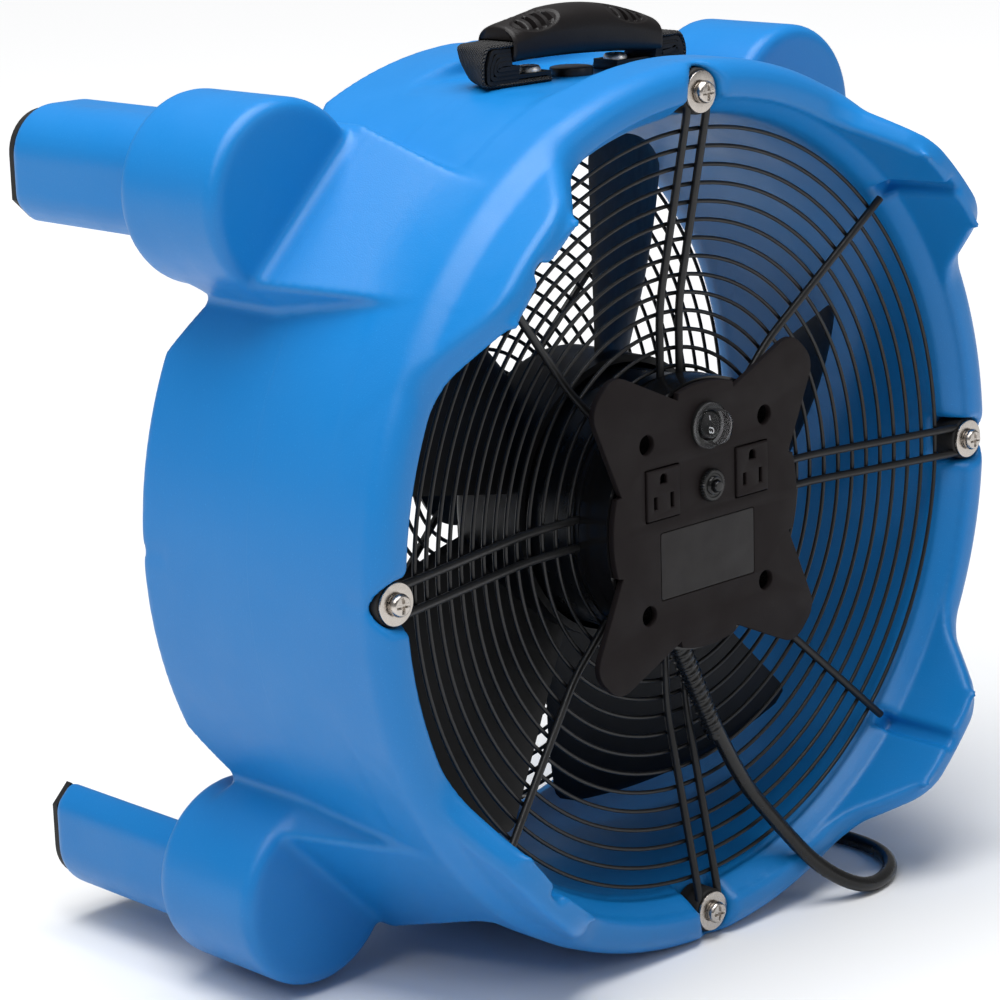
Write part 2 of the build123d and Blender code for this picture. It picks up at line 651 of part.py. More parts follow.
# ---- write every node ------------------------------------------------------------------------
def write_all():
    save("housing", housing())
    save("housing_crown", *housing_crown())
    save("housing_legs", *housing_legs())
    save("intake_guard_rings", *guard_rings(dish, 74))
    save("intake_guard_spokes", *intake_spokes())
    save("outlet_guard_rings", *guard_rings(outlet_dome, 36))
    save("outlet_guard_spokes", *outlet_spokes())
    save("outlet_guard_disc", outlet_disc())
    flat, spring = guard_washers()
    for name, piece in (("screws", guard_screw()), ("washers", flat), ("spring_washers", spring),
                        ("isolators", isolator())):
        around = quarters(piece)
        save(f"intake_{name}", *around)
        save(f"outlet_{name}", *at_outlet(around))
    save("control_plate", control_plate())
    save("control_box", control_box())
    save("plate_screws", *plate_screws())
    save("label_plate", label_plate())
    save("rocker_bezel", rocker_bezel())
    save("rocker", rocker())
    save("rocker_boot", rocker_boot())
    save("breaker_body", breaker_body())
    save("breaker_nut", breaker_nut())
    save("reset_button", reset_button())
    save("outlet_left", outlet(-OUTLET_X))
    save("outlet_right", outlet(OUTLET_X))
    save("outlet_contacts", *outlet_contacts())
    save("run_capacitor", run_capacitor())
    save("motor_mount", motor_mount())
    save("motor_lead", motor_lead())
    save("motor_shell", motor_shell())
    save("bell_front", bell_front())
    save("bell_rear", bell_rear())
    save("bearing_front", bearing(37))
    save("bearing_rear", bearing(81))
    save("stator_core", stator_core())
    save("stator_windings", *stator_windings())
    save("rotor_core", tube(41.4, SHAFT_R, 52, 78))
    save("motor_shaft", motor_shaft())
    save("impeller_hub", impeller_hub())
    save("fan_blades", *fan_blades())
    save("hub_washer", tube(10, 6.1, HUB_BACK, HUB_BACK + 1.5))
    save("hub_nut", hex_nut())
    save("feet", *corner_quarters(foot()))
    save("foot_screws", *corner_quarters(foot_screw()))
    save("strap_ends", strap_end(-1), strap_end(1))
    save("strap_folds", *strap_folds())
    save("handle_strap", handle_strap())
    save("handle_grip", handle_grip())
    save("strap_brackets", bracket(-1), bracket(1))
    save("bracket_screws", *bracket_screws())
    save("vent_plug", vent_plug())
    save("cord_relief", cord_relief())
    save("cord_run", cord_tube(cord_route()))
    save("cord_coil", cord_coil())
    save("cord_tail", cord_tube(tail_route()))
    save("plug_body", plug_body())
    save("plug_blades", *plug_blades())


write_all()
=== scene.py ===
"""Looks of an axial air mover: a blue rotomoulded drum on four legs, a wire guard on each mouth, a
dark control plate, a five-bladed fan, a strap handle and a mains cord coiled behind the drum.

Shapes are built in the fan frame, in millimetres: x to the right seen from the intake, depth along
the air flow from the intake plane, height over the fan axis. place() turns them into metres in the
row frame. Only the camera, the cord, the lights and the floor are written in row frame metres.
"""
from itertools import product
from math import atan2, ceil, copysign, cos, floor, hypot, pi, radians, sin

import bmesh
import bpy
import numpy as np
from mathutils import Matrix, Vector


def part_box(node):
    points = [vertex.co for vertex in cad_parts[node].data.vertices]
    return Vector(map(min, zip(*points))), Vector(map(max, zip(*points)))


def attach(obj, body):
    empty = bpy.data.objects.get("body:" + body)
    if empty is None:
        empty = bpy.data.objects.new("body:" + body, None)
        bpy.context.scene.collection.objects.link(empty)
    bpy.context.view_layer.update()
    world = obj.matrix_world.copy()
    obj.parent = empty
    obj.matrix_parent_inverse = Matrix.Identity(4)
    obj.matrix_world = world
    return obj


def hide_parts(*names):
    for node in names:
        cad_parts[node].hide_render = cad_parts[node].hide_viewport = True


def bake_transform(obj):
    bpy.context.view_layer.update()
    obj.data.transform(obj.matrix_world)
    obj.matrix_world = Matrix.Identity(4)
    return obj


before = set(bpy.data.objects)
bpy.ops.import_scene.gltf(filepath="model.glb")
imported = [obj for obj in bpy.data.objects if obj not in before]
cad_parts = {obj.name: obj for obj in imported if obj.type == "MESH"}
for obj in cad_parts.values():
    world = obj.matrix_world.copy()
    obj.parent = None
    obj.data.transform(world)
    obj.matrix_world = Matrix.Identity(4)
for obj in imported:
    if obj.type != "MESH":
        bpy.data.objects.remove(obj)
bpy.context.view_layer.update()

import openvdb
from mathutils import Matrix, Vector

MM = 0.001
PLATE_LOW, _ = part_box("control_plate")
WIRES_LOW, WIRES_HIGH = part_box("intake_guard_rings")
ORIGIN = Vector((0.0, PLATE_LOW.y, (WIRES_LOW.z + WIRES_HIGH.z) / 2))
CHASSIS = "chassis"


# ---- shape helpers ----
def place(points):
    """Fan frame millimetres to row frame metres."""
    return np.asarray(points, float) * MM + np.array(ORIGIN)


def in_fan_frame(point):
    """Row frame metres to fan frame millimetres."""
    return (Vector(point) - ORIGIN) / MM


def fan_box(node):
    low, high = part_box(node)
    return in_fan_frame(low), in_fan_frame(high)


def join(shapes):
    """Several (points, faces) shapes as one."""
    points, faces = [], []
    for shape_points, shape_faces in shapes:
        start = len(points)
        points.extend(tuple(p) for p in shape_points)
        faces.extend(tuple(start + i for i in face) for face in shape_faces)
    return points, faces


def moved(shape, x=0.0, depth=0.0, height=0.0):
    points, faces = shape
    return [(p[0] + x, p[1] + depth, p[2] + height) for p in points], faces


def turned(shape, degrees):
    """Turned round the fan axis, the top towards +X."""
    points, faces = shape
    c, s = cos(radians(degrees)), sin(radians(degrees))
    return [(p[0] * c + p[2] * s, p[1], -p[0] * s + p[2] * c) for p in points], faces


def quarters(shape, first=0.0):
    return join([turned(shape, first + 90 * k) for k in range(4)])


def mirrored_x(shape):
    points, faces = shape
    return [(-p[0], p[1], p[2]) for p in points], [tuple(reversed(face)) for face in faces]


def softened(points, radius, steps=4, closed=True):
    """A polyline with each corner rounded off."""
    result = []
    count = len(points)
    for i, point in enumerate(points):
        if not closed and i in (0, count - 1):
            result.append(tuple(point))
            continue
        corner = Vector(point)
        before, after = Vector(points[i - 1]) - corner, Vector(points[(i + 1) % count]) - corner
        reach = min(radius, 0.49 * before.length, 0.49 * after.length)
        start, end = corner + before.normalized() * reach, corner + after.normalized() * reach
        for k in range(steps + 1):
            t = k / steps
            result.append(tuple(start * (1 - t) ** 2 + corner * 2 * t * (1 - t) + end * t ** 2))
    return result


def grid_faces(rows, columns, wrap_rows=False, wrap_columns=True):
    faces = []
    for i in range(rows if wrap_rows else rows - 1):
        for j in range(columns if wrap_columns else columns - 1):
            i2, j2 = (i + 1) % rows, (j + 1) % columns
            faces.append((i * columns + j, i * columns + j2, i2 * columns + j2, i2 * columns + j))
    return faces


def round_steps(count):
    """The cosine and sine of evenly spaced angles, once round."""
    return [(cos(2 * pi * k / count), sin(2 * pi * k / count)) for k in range(count)]


def lathe(profile, around=48, x=0.0, height=0.0, closed=False):
    """A (radius, depth) profile turned round an axis along the flow."""
    points = [(x + r * c, d, height + r * s) for r, d in profile for c, s in round_steps(around)]
    return points, grid_faces(len(profile), around, wrap_rows=closed)


def tube(path, radius, sides=12, closed=False):
    """A round wire along points, with flat ends."""
    path = [Vector(p) for p in path]
    count = len(path)
    tangents = []
    for i in range(count):
        ahead = path[(i + 1) % count] if closed or i < count - 1 else path[i]
        behind = path[i - 1] if closed or i > 0 else path[i]
        tangents.append((ahead - behind).normalized())
    normal = tangents[0].orthogonal().normalized()
    points = []
    for i, centre in enumerate(path):
        normal = (normal - tangents[i] * normal.dot(tangents[i])).normalized()
        side = tangents[i].cross(normal)
        points += [tuple(centre + normal * (radius * c) + side * (radius * s)) for c, s in round_steps(sides)]
    faces = grid_faces(count, sides, wrap_rows=closed)
    if not closed:
        faces.append(tuple(reversed(range(sides))))
        faces.append(tuple(range((count - 1) * sides, count * sides)))
    return points, faces


def slab(outline, front, back, bevel=0.5, holes=()):
    """A flat plate with bevelled edges; the outline and the holes are lists of (x, height)."""
    curve = bpy.data.curves.new("slab", "CURVE")
    curve.dimensions, curve.fill_mode = "2D", "BOTH"
    curve.extrude, curve.bevel_depth = (back - front) / 2 - bevel, bevel
    curve.bevel_resolution, curve.offset = 2, -bevel
    for loop in [outline, *holes]:
        spline = curve.splines.new("POLY")
        spline.points.add(len(loop) - 1)
        for spline_point, (x, height) in zip(spline.points, loop):
            spline_point.co = (x, height, 0, 1)
        spline.use_cyclic_u = True
    holder = bpy.data.objects.new("slab", curve)
    mesh = bpy.data.meshes.new_from_object(holder)
    middle = (front + back) / 2
    points = [(v.co.x, middle - v.co.z, v.co.y) for v in mesh.vertices]
    faces = [tuple(p.vertices) for p in mesh.polygons]
    bpy.data.objects.remove(holder)
    bpy.data.curves.remove(curve)
    bpy.data.meshes.remove(mesh)
    return points, faces


def circle(radius, x=0.0, height=0.0, steps=40):
    return [(x + radius * c, height + radius * s) for c, s in round_steps(steps)]


def rectangle(half_x, half_z, x=0.0, height=0.0, radius=0.6):
    corners = [(-half_x, -half_z), (half_x, -half_z), (half_x, half_z), (-half_x, half_z)]
    return [(px + x, pz + height) for px, pz in softened(corners, radius)]


def linked(name, data):
    """A new object in the scene."""
    obj = bpy.data.objects.new(name, data)
    bpy.context.scene.collection.objects.link(obj)
    return obj


def finished(mesh, material, edit, **settings):
    """Edit a mesh with one bmesh operator, turn its faces outward and give it its material."""
    shape_edit = bmesh.new()
    shape_edit.from_mesh(mesh)
    edit(shape_edit, verts=shape_edit.verts, **settings)
    bmesh.ops.recalc_face_normals(shape_edit, faces=shape_edit.faces)
    shape_edit.to_mesh(mesh)
    shape_edit.free()
    mesh.shade_smooth()
    mesh.materials.append(material)


def piece(name, shape, material, body=CHASSIS, replaces=(), sharp=38.0, ride=True):
    """A mesh object in the row frame, shaded smooth but for its sharp edges."""
    points, faces = shape
    mesh = bpy.data.meshes.new(name)
    mesh.from_pydata(place(points), [], faces)
    finished(mesh, material, bmesh.ops.remove_doubles, dist=0.00001)
    mesh.set_sharp_from_angle(angle=radians(sharp))
    obj = linked(name, mesh)
    if replaces:
        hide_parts(*replaces)
    if ride:
        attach(obj, body)
    return obj


# ---- materials ----
class Surface:
    """A Principled material with small helpers for procedural detail in object space."""

    def __init__(self, name, colour, roughness, metallic=0.0):
        self.material = bpy.data.materials.new(name)
        self.material.use_nodes = True
        self.nodes, self.links = self.material.node_tree.nodes, self.material.node_tree.links
        self.shader = self.nodes["Principled BSDF"]
        self.shader.inputs["Base Color"].default_value = (*colour, 1)
        self.shader.inputs["Roughness"].default_value = roughness
        self.shader.inputs["Metallic"].default_value = metallic
        self.place = self.nodes.new("ShaderNodeTexCoord").outputs["Object"]
        self.normal = None

    def set(self, **values):
        for name, value in values.items():
            self.shader.inputs[name.replace("_", " ")].default_value = value
        return self

    def noise(self, scale, detail=4.0):
        node = self.nodes.new("ShaderNodeTexNoise")
        node.inputs["Scale"].default_value = scale
        node.inputs["Detail"].default_value = detail
        self.links.new(self.place, node.inputs["Vector"])
        return node.outputs["Fac"]

    def ramp(self, value, low, high, to_low=0.0, to_high=1.0):
        node = self.nodes.new("ShaderNodeMapRange")
        for name, number in (("From Min", low), ("From Max", high), ("To Min", to_low), ("To Max", to_high)):
            node.inputs[name].default_value = number
        self.links.new(value, node.inputs["Value"])
        return node.outputs["Result"]

    def math(self, operation, a, b=0.0, c=0.0):
        node = self.nodes.new("ShaderNodeMath")
        node.operation = operation
        for socket, value in zip(node.inputs, (a, b, c)):
            if isinstance(value, (int, float)):
                socket.default_value = value
            else:
                self.links.new(value, socket)
        return node.outputs[0]

    def axes(self):
        node = self.nodes.new("ShaderNodeSeparateXYZ")
        self.links.new(self.place, node.inputs[0])
        return node.outputs

    def tint(self, factor, colour):
        """Mix another colour in where factor is high."""
        node = self.nodes.new("ShaderNodeMix")
        node.data_type = "RGBA"
        self.links.new(factor, node.inputs["Factor"])
        base = self.shader.inputs["Base Color"]
        if base.is_linked:
            self.links.new(base.links[0].from_socket, node.inputs["A"])
        else:
            node.inputs["A"].default_value = base.default_value
        node.inputs["B"].default_value = (*colour, 1)
        self.links.new(node.outputs["Result"], base)
        return self

    def worn(self, scale, low, high, detail=4.0):
        """Roughness that varies from place to place."""
        self.links.new(self.ramp(self.noise(scale, detail), 0.3, 0.7, low, high),
                       self.shader.inputs["Roughness"])
        return self

    def bump(self, height, distance, strength=1.0):
        node = self.nodes.new("ShaderNodeBump")
        node.inputs["Distance"].default_value = distance
        node.inputs["Strength"].default_value = strength
        self.links.new(height, node.inputs["Height"])
        if self.normal:
            self.links.new(self.normal, node.inputs["Normal"])
        self.normal = node.outputs["Normal"]
        self.links.new(self.normal, self.shader.inputs["Normal"])
        return self


def blue_shell():
    """Rotomoulded polyethylene: satin, with orange peel, fine speckle and a faint parting line."""
    s = Surface("blue_shell", (0.005, 0.172, 0.485), 0.36)
    s.set(IOR=1.5, Specular_IOR_Level=0.34)
    s.tint(s.ramp(s.noise(9.0, 3.0), 0.35, 0.75, 0.0, 0.25), (0.007, 0.2, 0.53))
    s.tint(s.ramp(s.noise(1200.0, 2.0), 0.64, 0.8, 0.0, 0.35), (0.05, 0.33, 0.75))
    s.worn(40.0, 0.33, 0.44, 5.0)
    s.bump(s.noise(160.0, 3.0), 0.0006, 0.12)
    s.bump(s.noise(1500.0, 2.0), 0.0002, 0.4)
    _, y, _ = s.axes()
    parting = ORIGIN.y + 93 * MM
    ridge = s.math("COMPARE", y, parting, 0.0006)
    s.bump(ridge, 0.0003, 0.5)
    return s.material


def powder_black():
    s = Surface("black_wire", (0.006, 0.006, 0.0065), 0.36)
    s.set(Specular_IOR_Level=0.38)
    s.worn(300.0, 0.32, 0.46)
    s.bump(s.noise(1500.0, 2.0), 0.0002, 0.3)
    return s.material


def satin_black(name, colour, roughness, grain=900.0, depth=0.00015, gloss=0.36):
    """Moulded black plastic with a fine grain."""
    s = Surface(name, colour, roughness)
    s.set(Specular_IOR_Level=gloss)
    s.tint(s.ramp(s.noise(25.0), 0.4, 0.8, 0.0, 0.35), tuple(c * 1.7 for c in colour))
    s.worn(80.0, roughness - 0.05, roughness + 0.06)
    s.bump(s.noise(grain, 3.0), depth, 0.3)
    return s.material


def panel_plastic():
    """Very matt brown-black textured face."""
    s = Surface("panel", (0.0095, 0.0068, 0.007), 0.62)
    s.set(Specular_IOR_Level=0.14)
    s.tint(s.ramp(s.noise(14.0), 0.35, 0.8, 0.0, 0.3), (0.0125, 0.0095, 0.0095))
    s.worn(60.0, 0.56, 0.68)
    s.bump(s.noise(1400.0, 2.0), 0.0002, 0.35)
    return s.material


def metal(name, colour, roughness):
    s = Surface(name, colour, roughness, 1.0)
    s.tint(s.ramp(s.noise(60.0), 0.35, 0.8, 0.0, 0.35), tuple(c * 0.75 for c in colour))
    s.worn(400.0, roughness * 0.75, roughness * 1.4)
    s.bump(s.noise(800.0), 0.0001, 0.15)
    return s.material


def clear_plastic():
    s = Surface("clear_boot", (0.86, 0.86, 0.87), 0.08)
    s.set(Transmission_Weight=1.0, IOR=1.12)
    s.worn(120.0, 0.03, 0.10)
    return s.material


def webbing():
    """Black woven strap: two thread directions, raised where they cross, with a painted highlight on the
    crossings.
    """
    s = Surface("webbing", (0.0055, 0.0055, 0.006), 0.7)
    s.set(Sheen_Weight=0.06, Sheen_Roughness=0.5, Specular_IOR_Level=0.35)
    uv = s.nodes.new("ShaderNodeTexCoord").outputs["UV"]
    split = s.nodes.new("ShaderNodeSeparateXYZ")
    s.links.new(uv, split.inputs[0])
    along, across, _ = split.outputs
    warp = s.math("SINE", s.math("MULTIPLY", across, 2 * pi / 1.55))
    weft = s.math("SINE", s.math("MULTIPLY", along, 2 * pi / 2.1))
    cross = s.math("MULTIPLY", warp, weft)
    # Painted highlight: the raised thread crossings are coloured far lighter than the black strap, standing
    # in for light caught on the threads.
    s.tint(s.ramp(cross, 0.25, 0.95, 0.0, 0.85), (0.085, 0.085, 0.088))
    s.bump(cross, 0.0011, 1.0)
    s.bump(s.noise(3000.0, 2.0), 0.0002, 0.4)
    return s.material


def winding_copper():
    s = Surface("copper", (0.6, 0.21, 0.08), 0.3, 1.0)
    s.worn(500.0, 0.22, 0.45)
    s.bump(s.noise(900.0, 2.0), 0.0005, 0.6)
    return s.material


def laminations():
    s = Surface("lamination", (0.32, 0.32, 0.33), 0.45, 0.9)
    _, y, _ = s.axes()
    sheets = s.math("SINE", s.math("MULTIPLY", y, 2 * pi / 0.0007))
    s.bump(sheets, 0.0002, 0.5)
    s.tint(s.ramp(s.noise(80.0), 0.4, 0.8, 0.0, 0.4), (0.2, 0.17, 0.15))
    return s.material


BLUE = blue_shell()
WIRE = powder_black()
PANEL = panel_plastic()
BLACK = satin_black("black_plastic", (0.007, 0.007, 0.007), 0.36)
BOX_BLACK = satin_black("box_plastic", (0.005, 0.005, 0.0055), 0.2, 500.0, 0.0001)
FAN_BLACK = satin_black("fan_plastic", (0.005, 0.005, 0.0055), 0.42, 700.0)
RUBBER = satin_black("rubber", (0.008, 0.0075, 0.0075), 0.65, 500.0, 0.0003)
GRIP = satin_black("grip", (0.0052, 0.0038, 0.0038), 0.44, 800.0, 0.0003, 0.27)
CORD = satin_black("cord", (0.006, 0.006, 0.006), 0.28, 300.0)
PAINT = satin_black("motor_paint", (0.007, 0.007, 0.0075), 0.3, 350.0, 0.0002)
STEEL = metal("steel", (0.5, 0.46, 0.42), 0.24)
ZINC = metal("zinc", (0.93, 0.93, 0.92), 0.4)
SHAFT_STEEL = metal("shaft_steel", (0.62, 0.62, 0.62), 0.3)
BRASS = metal("brass", (0.78, 0.56, 0.25), 0.25)
CLEAR = clear_plastic()
WEBBING = webbing()
COPPER = winding_copper()
SHEETS = laminations()
FOLD_WEBBING = satin_black("webbing_edge", (0.006, 0.006, 0.0065), 0.75, 1600.0, 0.0006)
MARK = satin_black("switch_marks", (0.8, 0.8, 0.8), 0.5)
LABEL = satin_black("label", (0.0088, 0.0072, 0.0074), 0.6, 1400.0, 0.0002)

NODE_MATERIALS = (
    (BOX_BLACK, "control_box"), (BLACK, "run_capacitor"), (WIRE, "motor_mount outlet_guard_disc"),
    (STEEL, "plate_screws hub_washer hub_nut foot_screws"), (BRASS, "outlet_contacts plug_blades"),
    (PAINT, "motor_shell bell_front bell_rear"), (CORD, "motor_lead"),
    (SHAFT_STEEL, "bearing_front bearing_rear motor_shaft"), (SHEETS, "stator_core rotor_core"),
    (COPPER, "stator_windings"), (FAN_BLACK, "impeller_hub"), (RUBBER, "feet"),
)


def dress_nodes():
    """Give the CAD pieces that stay their materials."""
    for material, nodes in NODE_MATERIALS:
        for node in nodes.split():
            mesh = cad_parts[node].data
            mesh.materials.clear()
            mesh.materials.append(material)


# ---- camera ----
def make_camera():
    azimuth, elevation, roll = radians(-43.965), radians(14.176), radians(-1.748)
    target = Vector((-0.1534, -0.1280, 0.2793))
    distance = 1.613
    back = Vector((sin(azimuth) * cos(elevation), -cos(azimuth) * cos(elevation), sin(elevation)))
    level = Vector((cos(azimuth), sin(azimuth), 0))
    above = back.cross(level)
    right = cos(roll) * level + sin(roll) * above
    up = -sin(roll) * level + cos(roll) * above
    data = bpy.data.cameras.new("camera")
    data.sensor_width, data.lens = 36.0, 116.72
    camera = linked("camera", data)
    turn = Matrix((right, up, back)).transposed().to_4x4()
    camera.matrix_world = Matrix.Translation(target + back * distance) @ turn
    bpy.context.scene.camera = camera


# ---- cord ----
CORD_R = 0.0043
COIL_CENTRE = Vector((0.010, 0.118))
CORD_POINTS = [
    (-0.0166, -0.1160, 0.1782), (0.0268, -0.1160, 0.0913), (0.0540, -0.1280, 0.0520),
    (0.0760, -0.1400, 0.0220), (0.1040, -0.1510, CORD_R), (0.1380, -0.1430, CORD_R),
    (0.1600, -0.1160, CORD_R), (0.1620, -0.0780, CORD_R), (0.1470, -0.0360, CORD_R),
    (0.1310, 0.0070, CORD_R), (0.1120, 0.0520, CORD_R), (0.0870, 0.1000, CORD_R),
]
TAIL_POINTS = [(-0.0100, 0.1655, 0.0210), (-0.0300, 0.1645, 0.0145), (-0.0500, 0.1640, 0.0130)]


def coil_points():
    """Eight turns and a bit, three side by side and three layers high, from outside on the floor."""
    pitch = 2 * CORD_R + 0.0001
    columns = [1, 0, -1, -1, 0, 1, 1, 0, 0]
    layers = [0, 0, 0, 1, 1, 1, 2, 2, 2]
    turn_count, per_turn, change = 8, 16, 0.14
    middle, first, last = 0.047, radians(32.5), radians(90) + 2 * pi * turn_count
    steps = per_turn * turn_count + 2
    points = []
    for k in range(steps + 1):
        angle = first + (last - first) * k / steps
        turns = (angle - first) / (2 * pi)
        now = min(floor(turns), turn_count - 1)
        ahead = min(max((turns - now - 1 + change) / change, 0.0), 1.0)
        column = columns[now] + (columns[now + 1] - columns[now]) * ahead
        layer = layers[now] + (layers[now + 1] - layers[now]) * ahead
        r = (middle + column * pitch) / cos(pi / per_turn)
        points.append((COIL_CENTRE.x + r * cos(angle), COIL_CENTRE.y + r * sin(angle),
                       CORD_R + layer * pitch))
    return points


def make_cord():
    data = bpy.data.curves.new("cord", "CURVE")
    data.dimensions = "3D"
    data.bevel_depth, data.bevel_resolution, data.resolution_u = CORD_R, 5, 6
    data.use_fill_caps = True
    points = CORD_POINTS + coil_points() + TAIL_POINTS
    spline = data.splines.new("NURBS")
    spline.points.add(len(points) - 1)
    for spline_point, point in zip(spline.points, points):
        spline_point.co = (*point, 1)
    spline.order_u = 3
    spline.use_endpoint_u = True
    data.materials.append(CORD)
    cord = linked("mains_cord", data)
    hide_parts("cord_run", "cord_coil", "cord_tail")
    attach(cord, CHASSIS)
    return cord


RELIEF_START, RELIEF_END = Vector((-13, 12, -70)), Vector((17, 12, -130))


def make_relief():
    """Tapered sleeve with a raised spiral, thin at its free end."""
    axis = (RELIEF_END - RELIEF_START).normalized()
    length = (RELIEF_END - RELIEF_START).length
    normal = axis.cross(Vector((0, 1, 0))).normalized()
    side = axis.cross(normal)
    rows, around, pitch = 150, 32, 4.6
    points = []
    for i in range(rows + 1):
        along = -3 + (length + 3) * i / rows
        taper = 6.1 + (5.0 - 6.1) * i / rows
        for k in range(around):
            a = 2 * pi * k / around
            wave = cos(2 * pi * (along / pitch - k / around))
            notch = 0.5 + 0.5 * cos(3 * a)
            fade = min(1.0, max(0.0, (length - along) / 3))
            r = taper + fade * (0.75 * max(wave, -0.3) * (0.55 + 0.45 * notch))
            points.append(tuple(RELIEF_START + axis * along + normal * (r * cos(a)) + side * (r * sin(a))))
    last = [tuple(RELIEF_END + normal * (4.4 * c) + side * (4.4 * s)) for c, s in round_steps(around)]
    return piece("bend_relief", (points + last, grid_faces(rows + 2, around)), CORD,
                 replaces=["cord_relief"], sharp=60)


def make_plug():
    """Straight moulded plug: ribbed grip, round shoulder, flat face."""
    low, high = fan_box("plug_body")
    y, z = (low.y + high.y) / 2, (low.z + high.z) / 2
    ribs = [(8.2 + 0.9 * (k % 2), 4 + 2 * k) for k in range(6)]
    profile = [(4.35, 0.0), (6.4, 0.0), (7.2, 2.0), *ribs, (9.4, 17.0), (12.2, 20.5), (12.8, 22.5),
               (12.8, 41.5), (12.3, 43.2), (11.2, 44.0), (0.0, 44.0)]
    around = 48
    points = [(high.x - along, y + r * c, z + r * s) for r, along in profile for c, s in round_steps(around)]
    return piece("plug", (points, grid_faces(len(profile), around)), CORD,
                 replaces=["plug_body"], sharp=50)


make_camera()
CORD_PIECE = make_cord()
RELIEF_PIECE = make_relief()
PLUG_PIECE = make_plug()


# ---- housing ----
DRUM_R, DUCT_R, DRUM_DEPTH = 241.0, 211.0, 181.0
CROWN_REACH, CROWN_R = 40.0, 236.0
TOOTH_TIP, TOOTH_BASE, TOOTH_COS = 31.0, 73.0, 0.69
BACK_CUT, BACK_SLOPE, BACK_HALF = 24.0, 0.66, 82.0
LEG_X, LEG_Z, LEG_HALF, LEG_CUT, LEG_END = 195.5, 189.5, 32.0, 12.0, 292.0
BULGE_X, BULGE_Z, BULGE_R, BULGE_FRONT = 193.5, 185.3, 50.5, 103.0
FLANK_R, FLANK_HALF, FLANK_FRONT_HALF = 257.0, 52.0, 34.0
FLANK_START_R, FLANK_START, FLANK_SLANT, FLANK_RUN, FLANK_COS = 234.0, 4.0, 96.0, 99.0, 0.9725
MOUTH_FLARE, MOUTH_DEPTH = 9.0, 18.0
SCREW_R, SLOT_INNER, SLOT_HALF, SLOT_DEPTH = 225.0, 195.0, 12.4, 18.0
HANDLE_DEPTH, SEAT_HEIGHT, SEAT_MIDDLE, SEAT_HALF = 93.0, 228.0, 86.5, 49.5
GROOVE_HALF, GROOVE_R = 4.5, 227.0
RIM_PROUD = 4.5


def both(a, b, radius):
    """Where two distance fields overlap, with the edge between them rounded."""
    a, b = a + radius, b + radius
    return np.minimum(np.maximum(a, b), 0) + np.hypot(np.maximum(a, 0), np.maximum(b, 0)) - radius


def either(a, b, radius):
    """Two distance fields together, with a round fillet between them."""
    return -both(-a, -b, radius)


def housing_field(x, d, z):
    """Distance to the drum's skin, negative inside."""
    ax, az = np.abs(x), np.abs(z)
    r = np.hypot(ax, az)
    out, side = (ax + az) / np.sqrt(2.0), np.abs(ax - az) / np.sqrt(2.0)
    outside = np.clip((r - 222.0) / 12.0, 0.0, 1.0)
    back = DRUM_DEPTH - np.minimum(BACK_CUT, BACK_SLOPE * np.maximum(BACK_HALF - side, 0.0)) * outside
    shell = both(both(r - DRUM_R, -RIM_PROUD - d, 13.0), d - back, 5.0)
    flare = (side - TOOTH_BASE - (TOOTH_BASE - TOOTH_TIP) / CROWN_REACH * d) * TOOTH_COS
    tooth = both(both(flare, -CROWN_REACH - d, 10.0), r - CROWN_R, 6.0)
    shell = either(shell, np.maximum(tooth, d - 30.0), 8.0)
    rise = (FLANK_R - FLANK_START_R) / FLANK_SLANT
    slant = (out - FLANK_START_R - rise * (d - FLANK_START)) * FLANK_COS
    widening = np.clip((d - FLANK_START) / FLANK_RUN, 0.0, 1.0)
    half = FLANK_FRONT_HALF + (FLANK_HALF - FLANK_FRONT_HALF) * widening
    flank = both(both(np.maximum(slant, out - FLANK_R), side - half, 3.0), d - back, 5.0)
    shell = either(shell, flank, 4.5)
    bulge = np.hypot(ax - BULGE_X, az - BULGE_Z) - BULGE_R
    bulge = both(both(bulge, BULGE_FRONT - d, 7.0), d - DRUM_DEPTH, 9.0)
    shell = either(shell, bulge, 5.0)
    u, v = ax - LEG_X, az - LEG_Z
    leg = both(u - LEG_HALF, v - LEG_HALF, 27.0)
    leg = both(both(leg, -u - LEG_HALF, 4.0), -v - LEG_HALF, 4.0)
    chamfer = 2 * LEG_HALF - LEG_CUT
    leg = both(both(leg, (u - v - chamfer) / np.sqrt(2.0), 4.0), (v - u - chamfer) / np.sqrt(2.0), 4.0)
    leg = both(leg, (-u - v - LEG_CUT) / np.sqrt(2.0), 4.0)
    leg = np.maximum(both(leg, d - LEG_END, 6.0), 150.0 - d)
    shell = either(shell, leg, 5.0)
    mouth = DUCT_R + MOUTH_FLARE * (1 - np.clip(d, 0.0, MOUTH_DEPTH) / MOUTH_DEPTH) ** 1.6
    mouth = mouth + 0.06 * np.maximum(-d, 0.0)
    shell = both(shell, mouth - r, 4.0)
    groove = both(np.maximum(side - GROOVE_HALF, d - 9.0), out - GROOVE_R, 3.0)
    shell = both(shell, -groove, 3.5)
    across, reach = np.minimum(ax, az), np.maximum(ax, az)
    slot = np.hypot(across, np.maximum(reach - SCREW_R, 0.0)) - SLOT_HALF
    slot = np.maximum(slot, SLOT_INNER - reach)
    slots = np.minimum(np.maximum(slot, d - SLOT_DEPTH), np.maximum(slot, DRUM_DEPTH - SLOT_DEPTH - d))
    shell = both(shell, -slots, 5.0)
    seat = both(both(np.abs(d - SEAT_MIDDLE) - SEAT_HALF, ax - 96.0, 14.0), SEAT_HEIGHT - z, 6.0)
    return both(shell, -seat, 5.0)


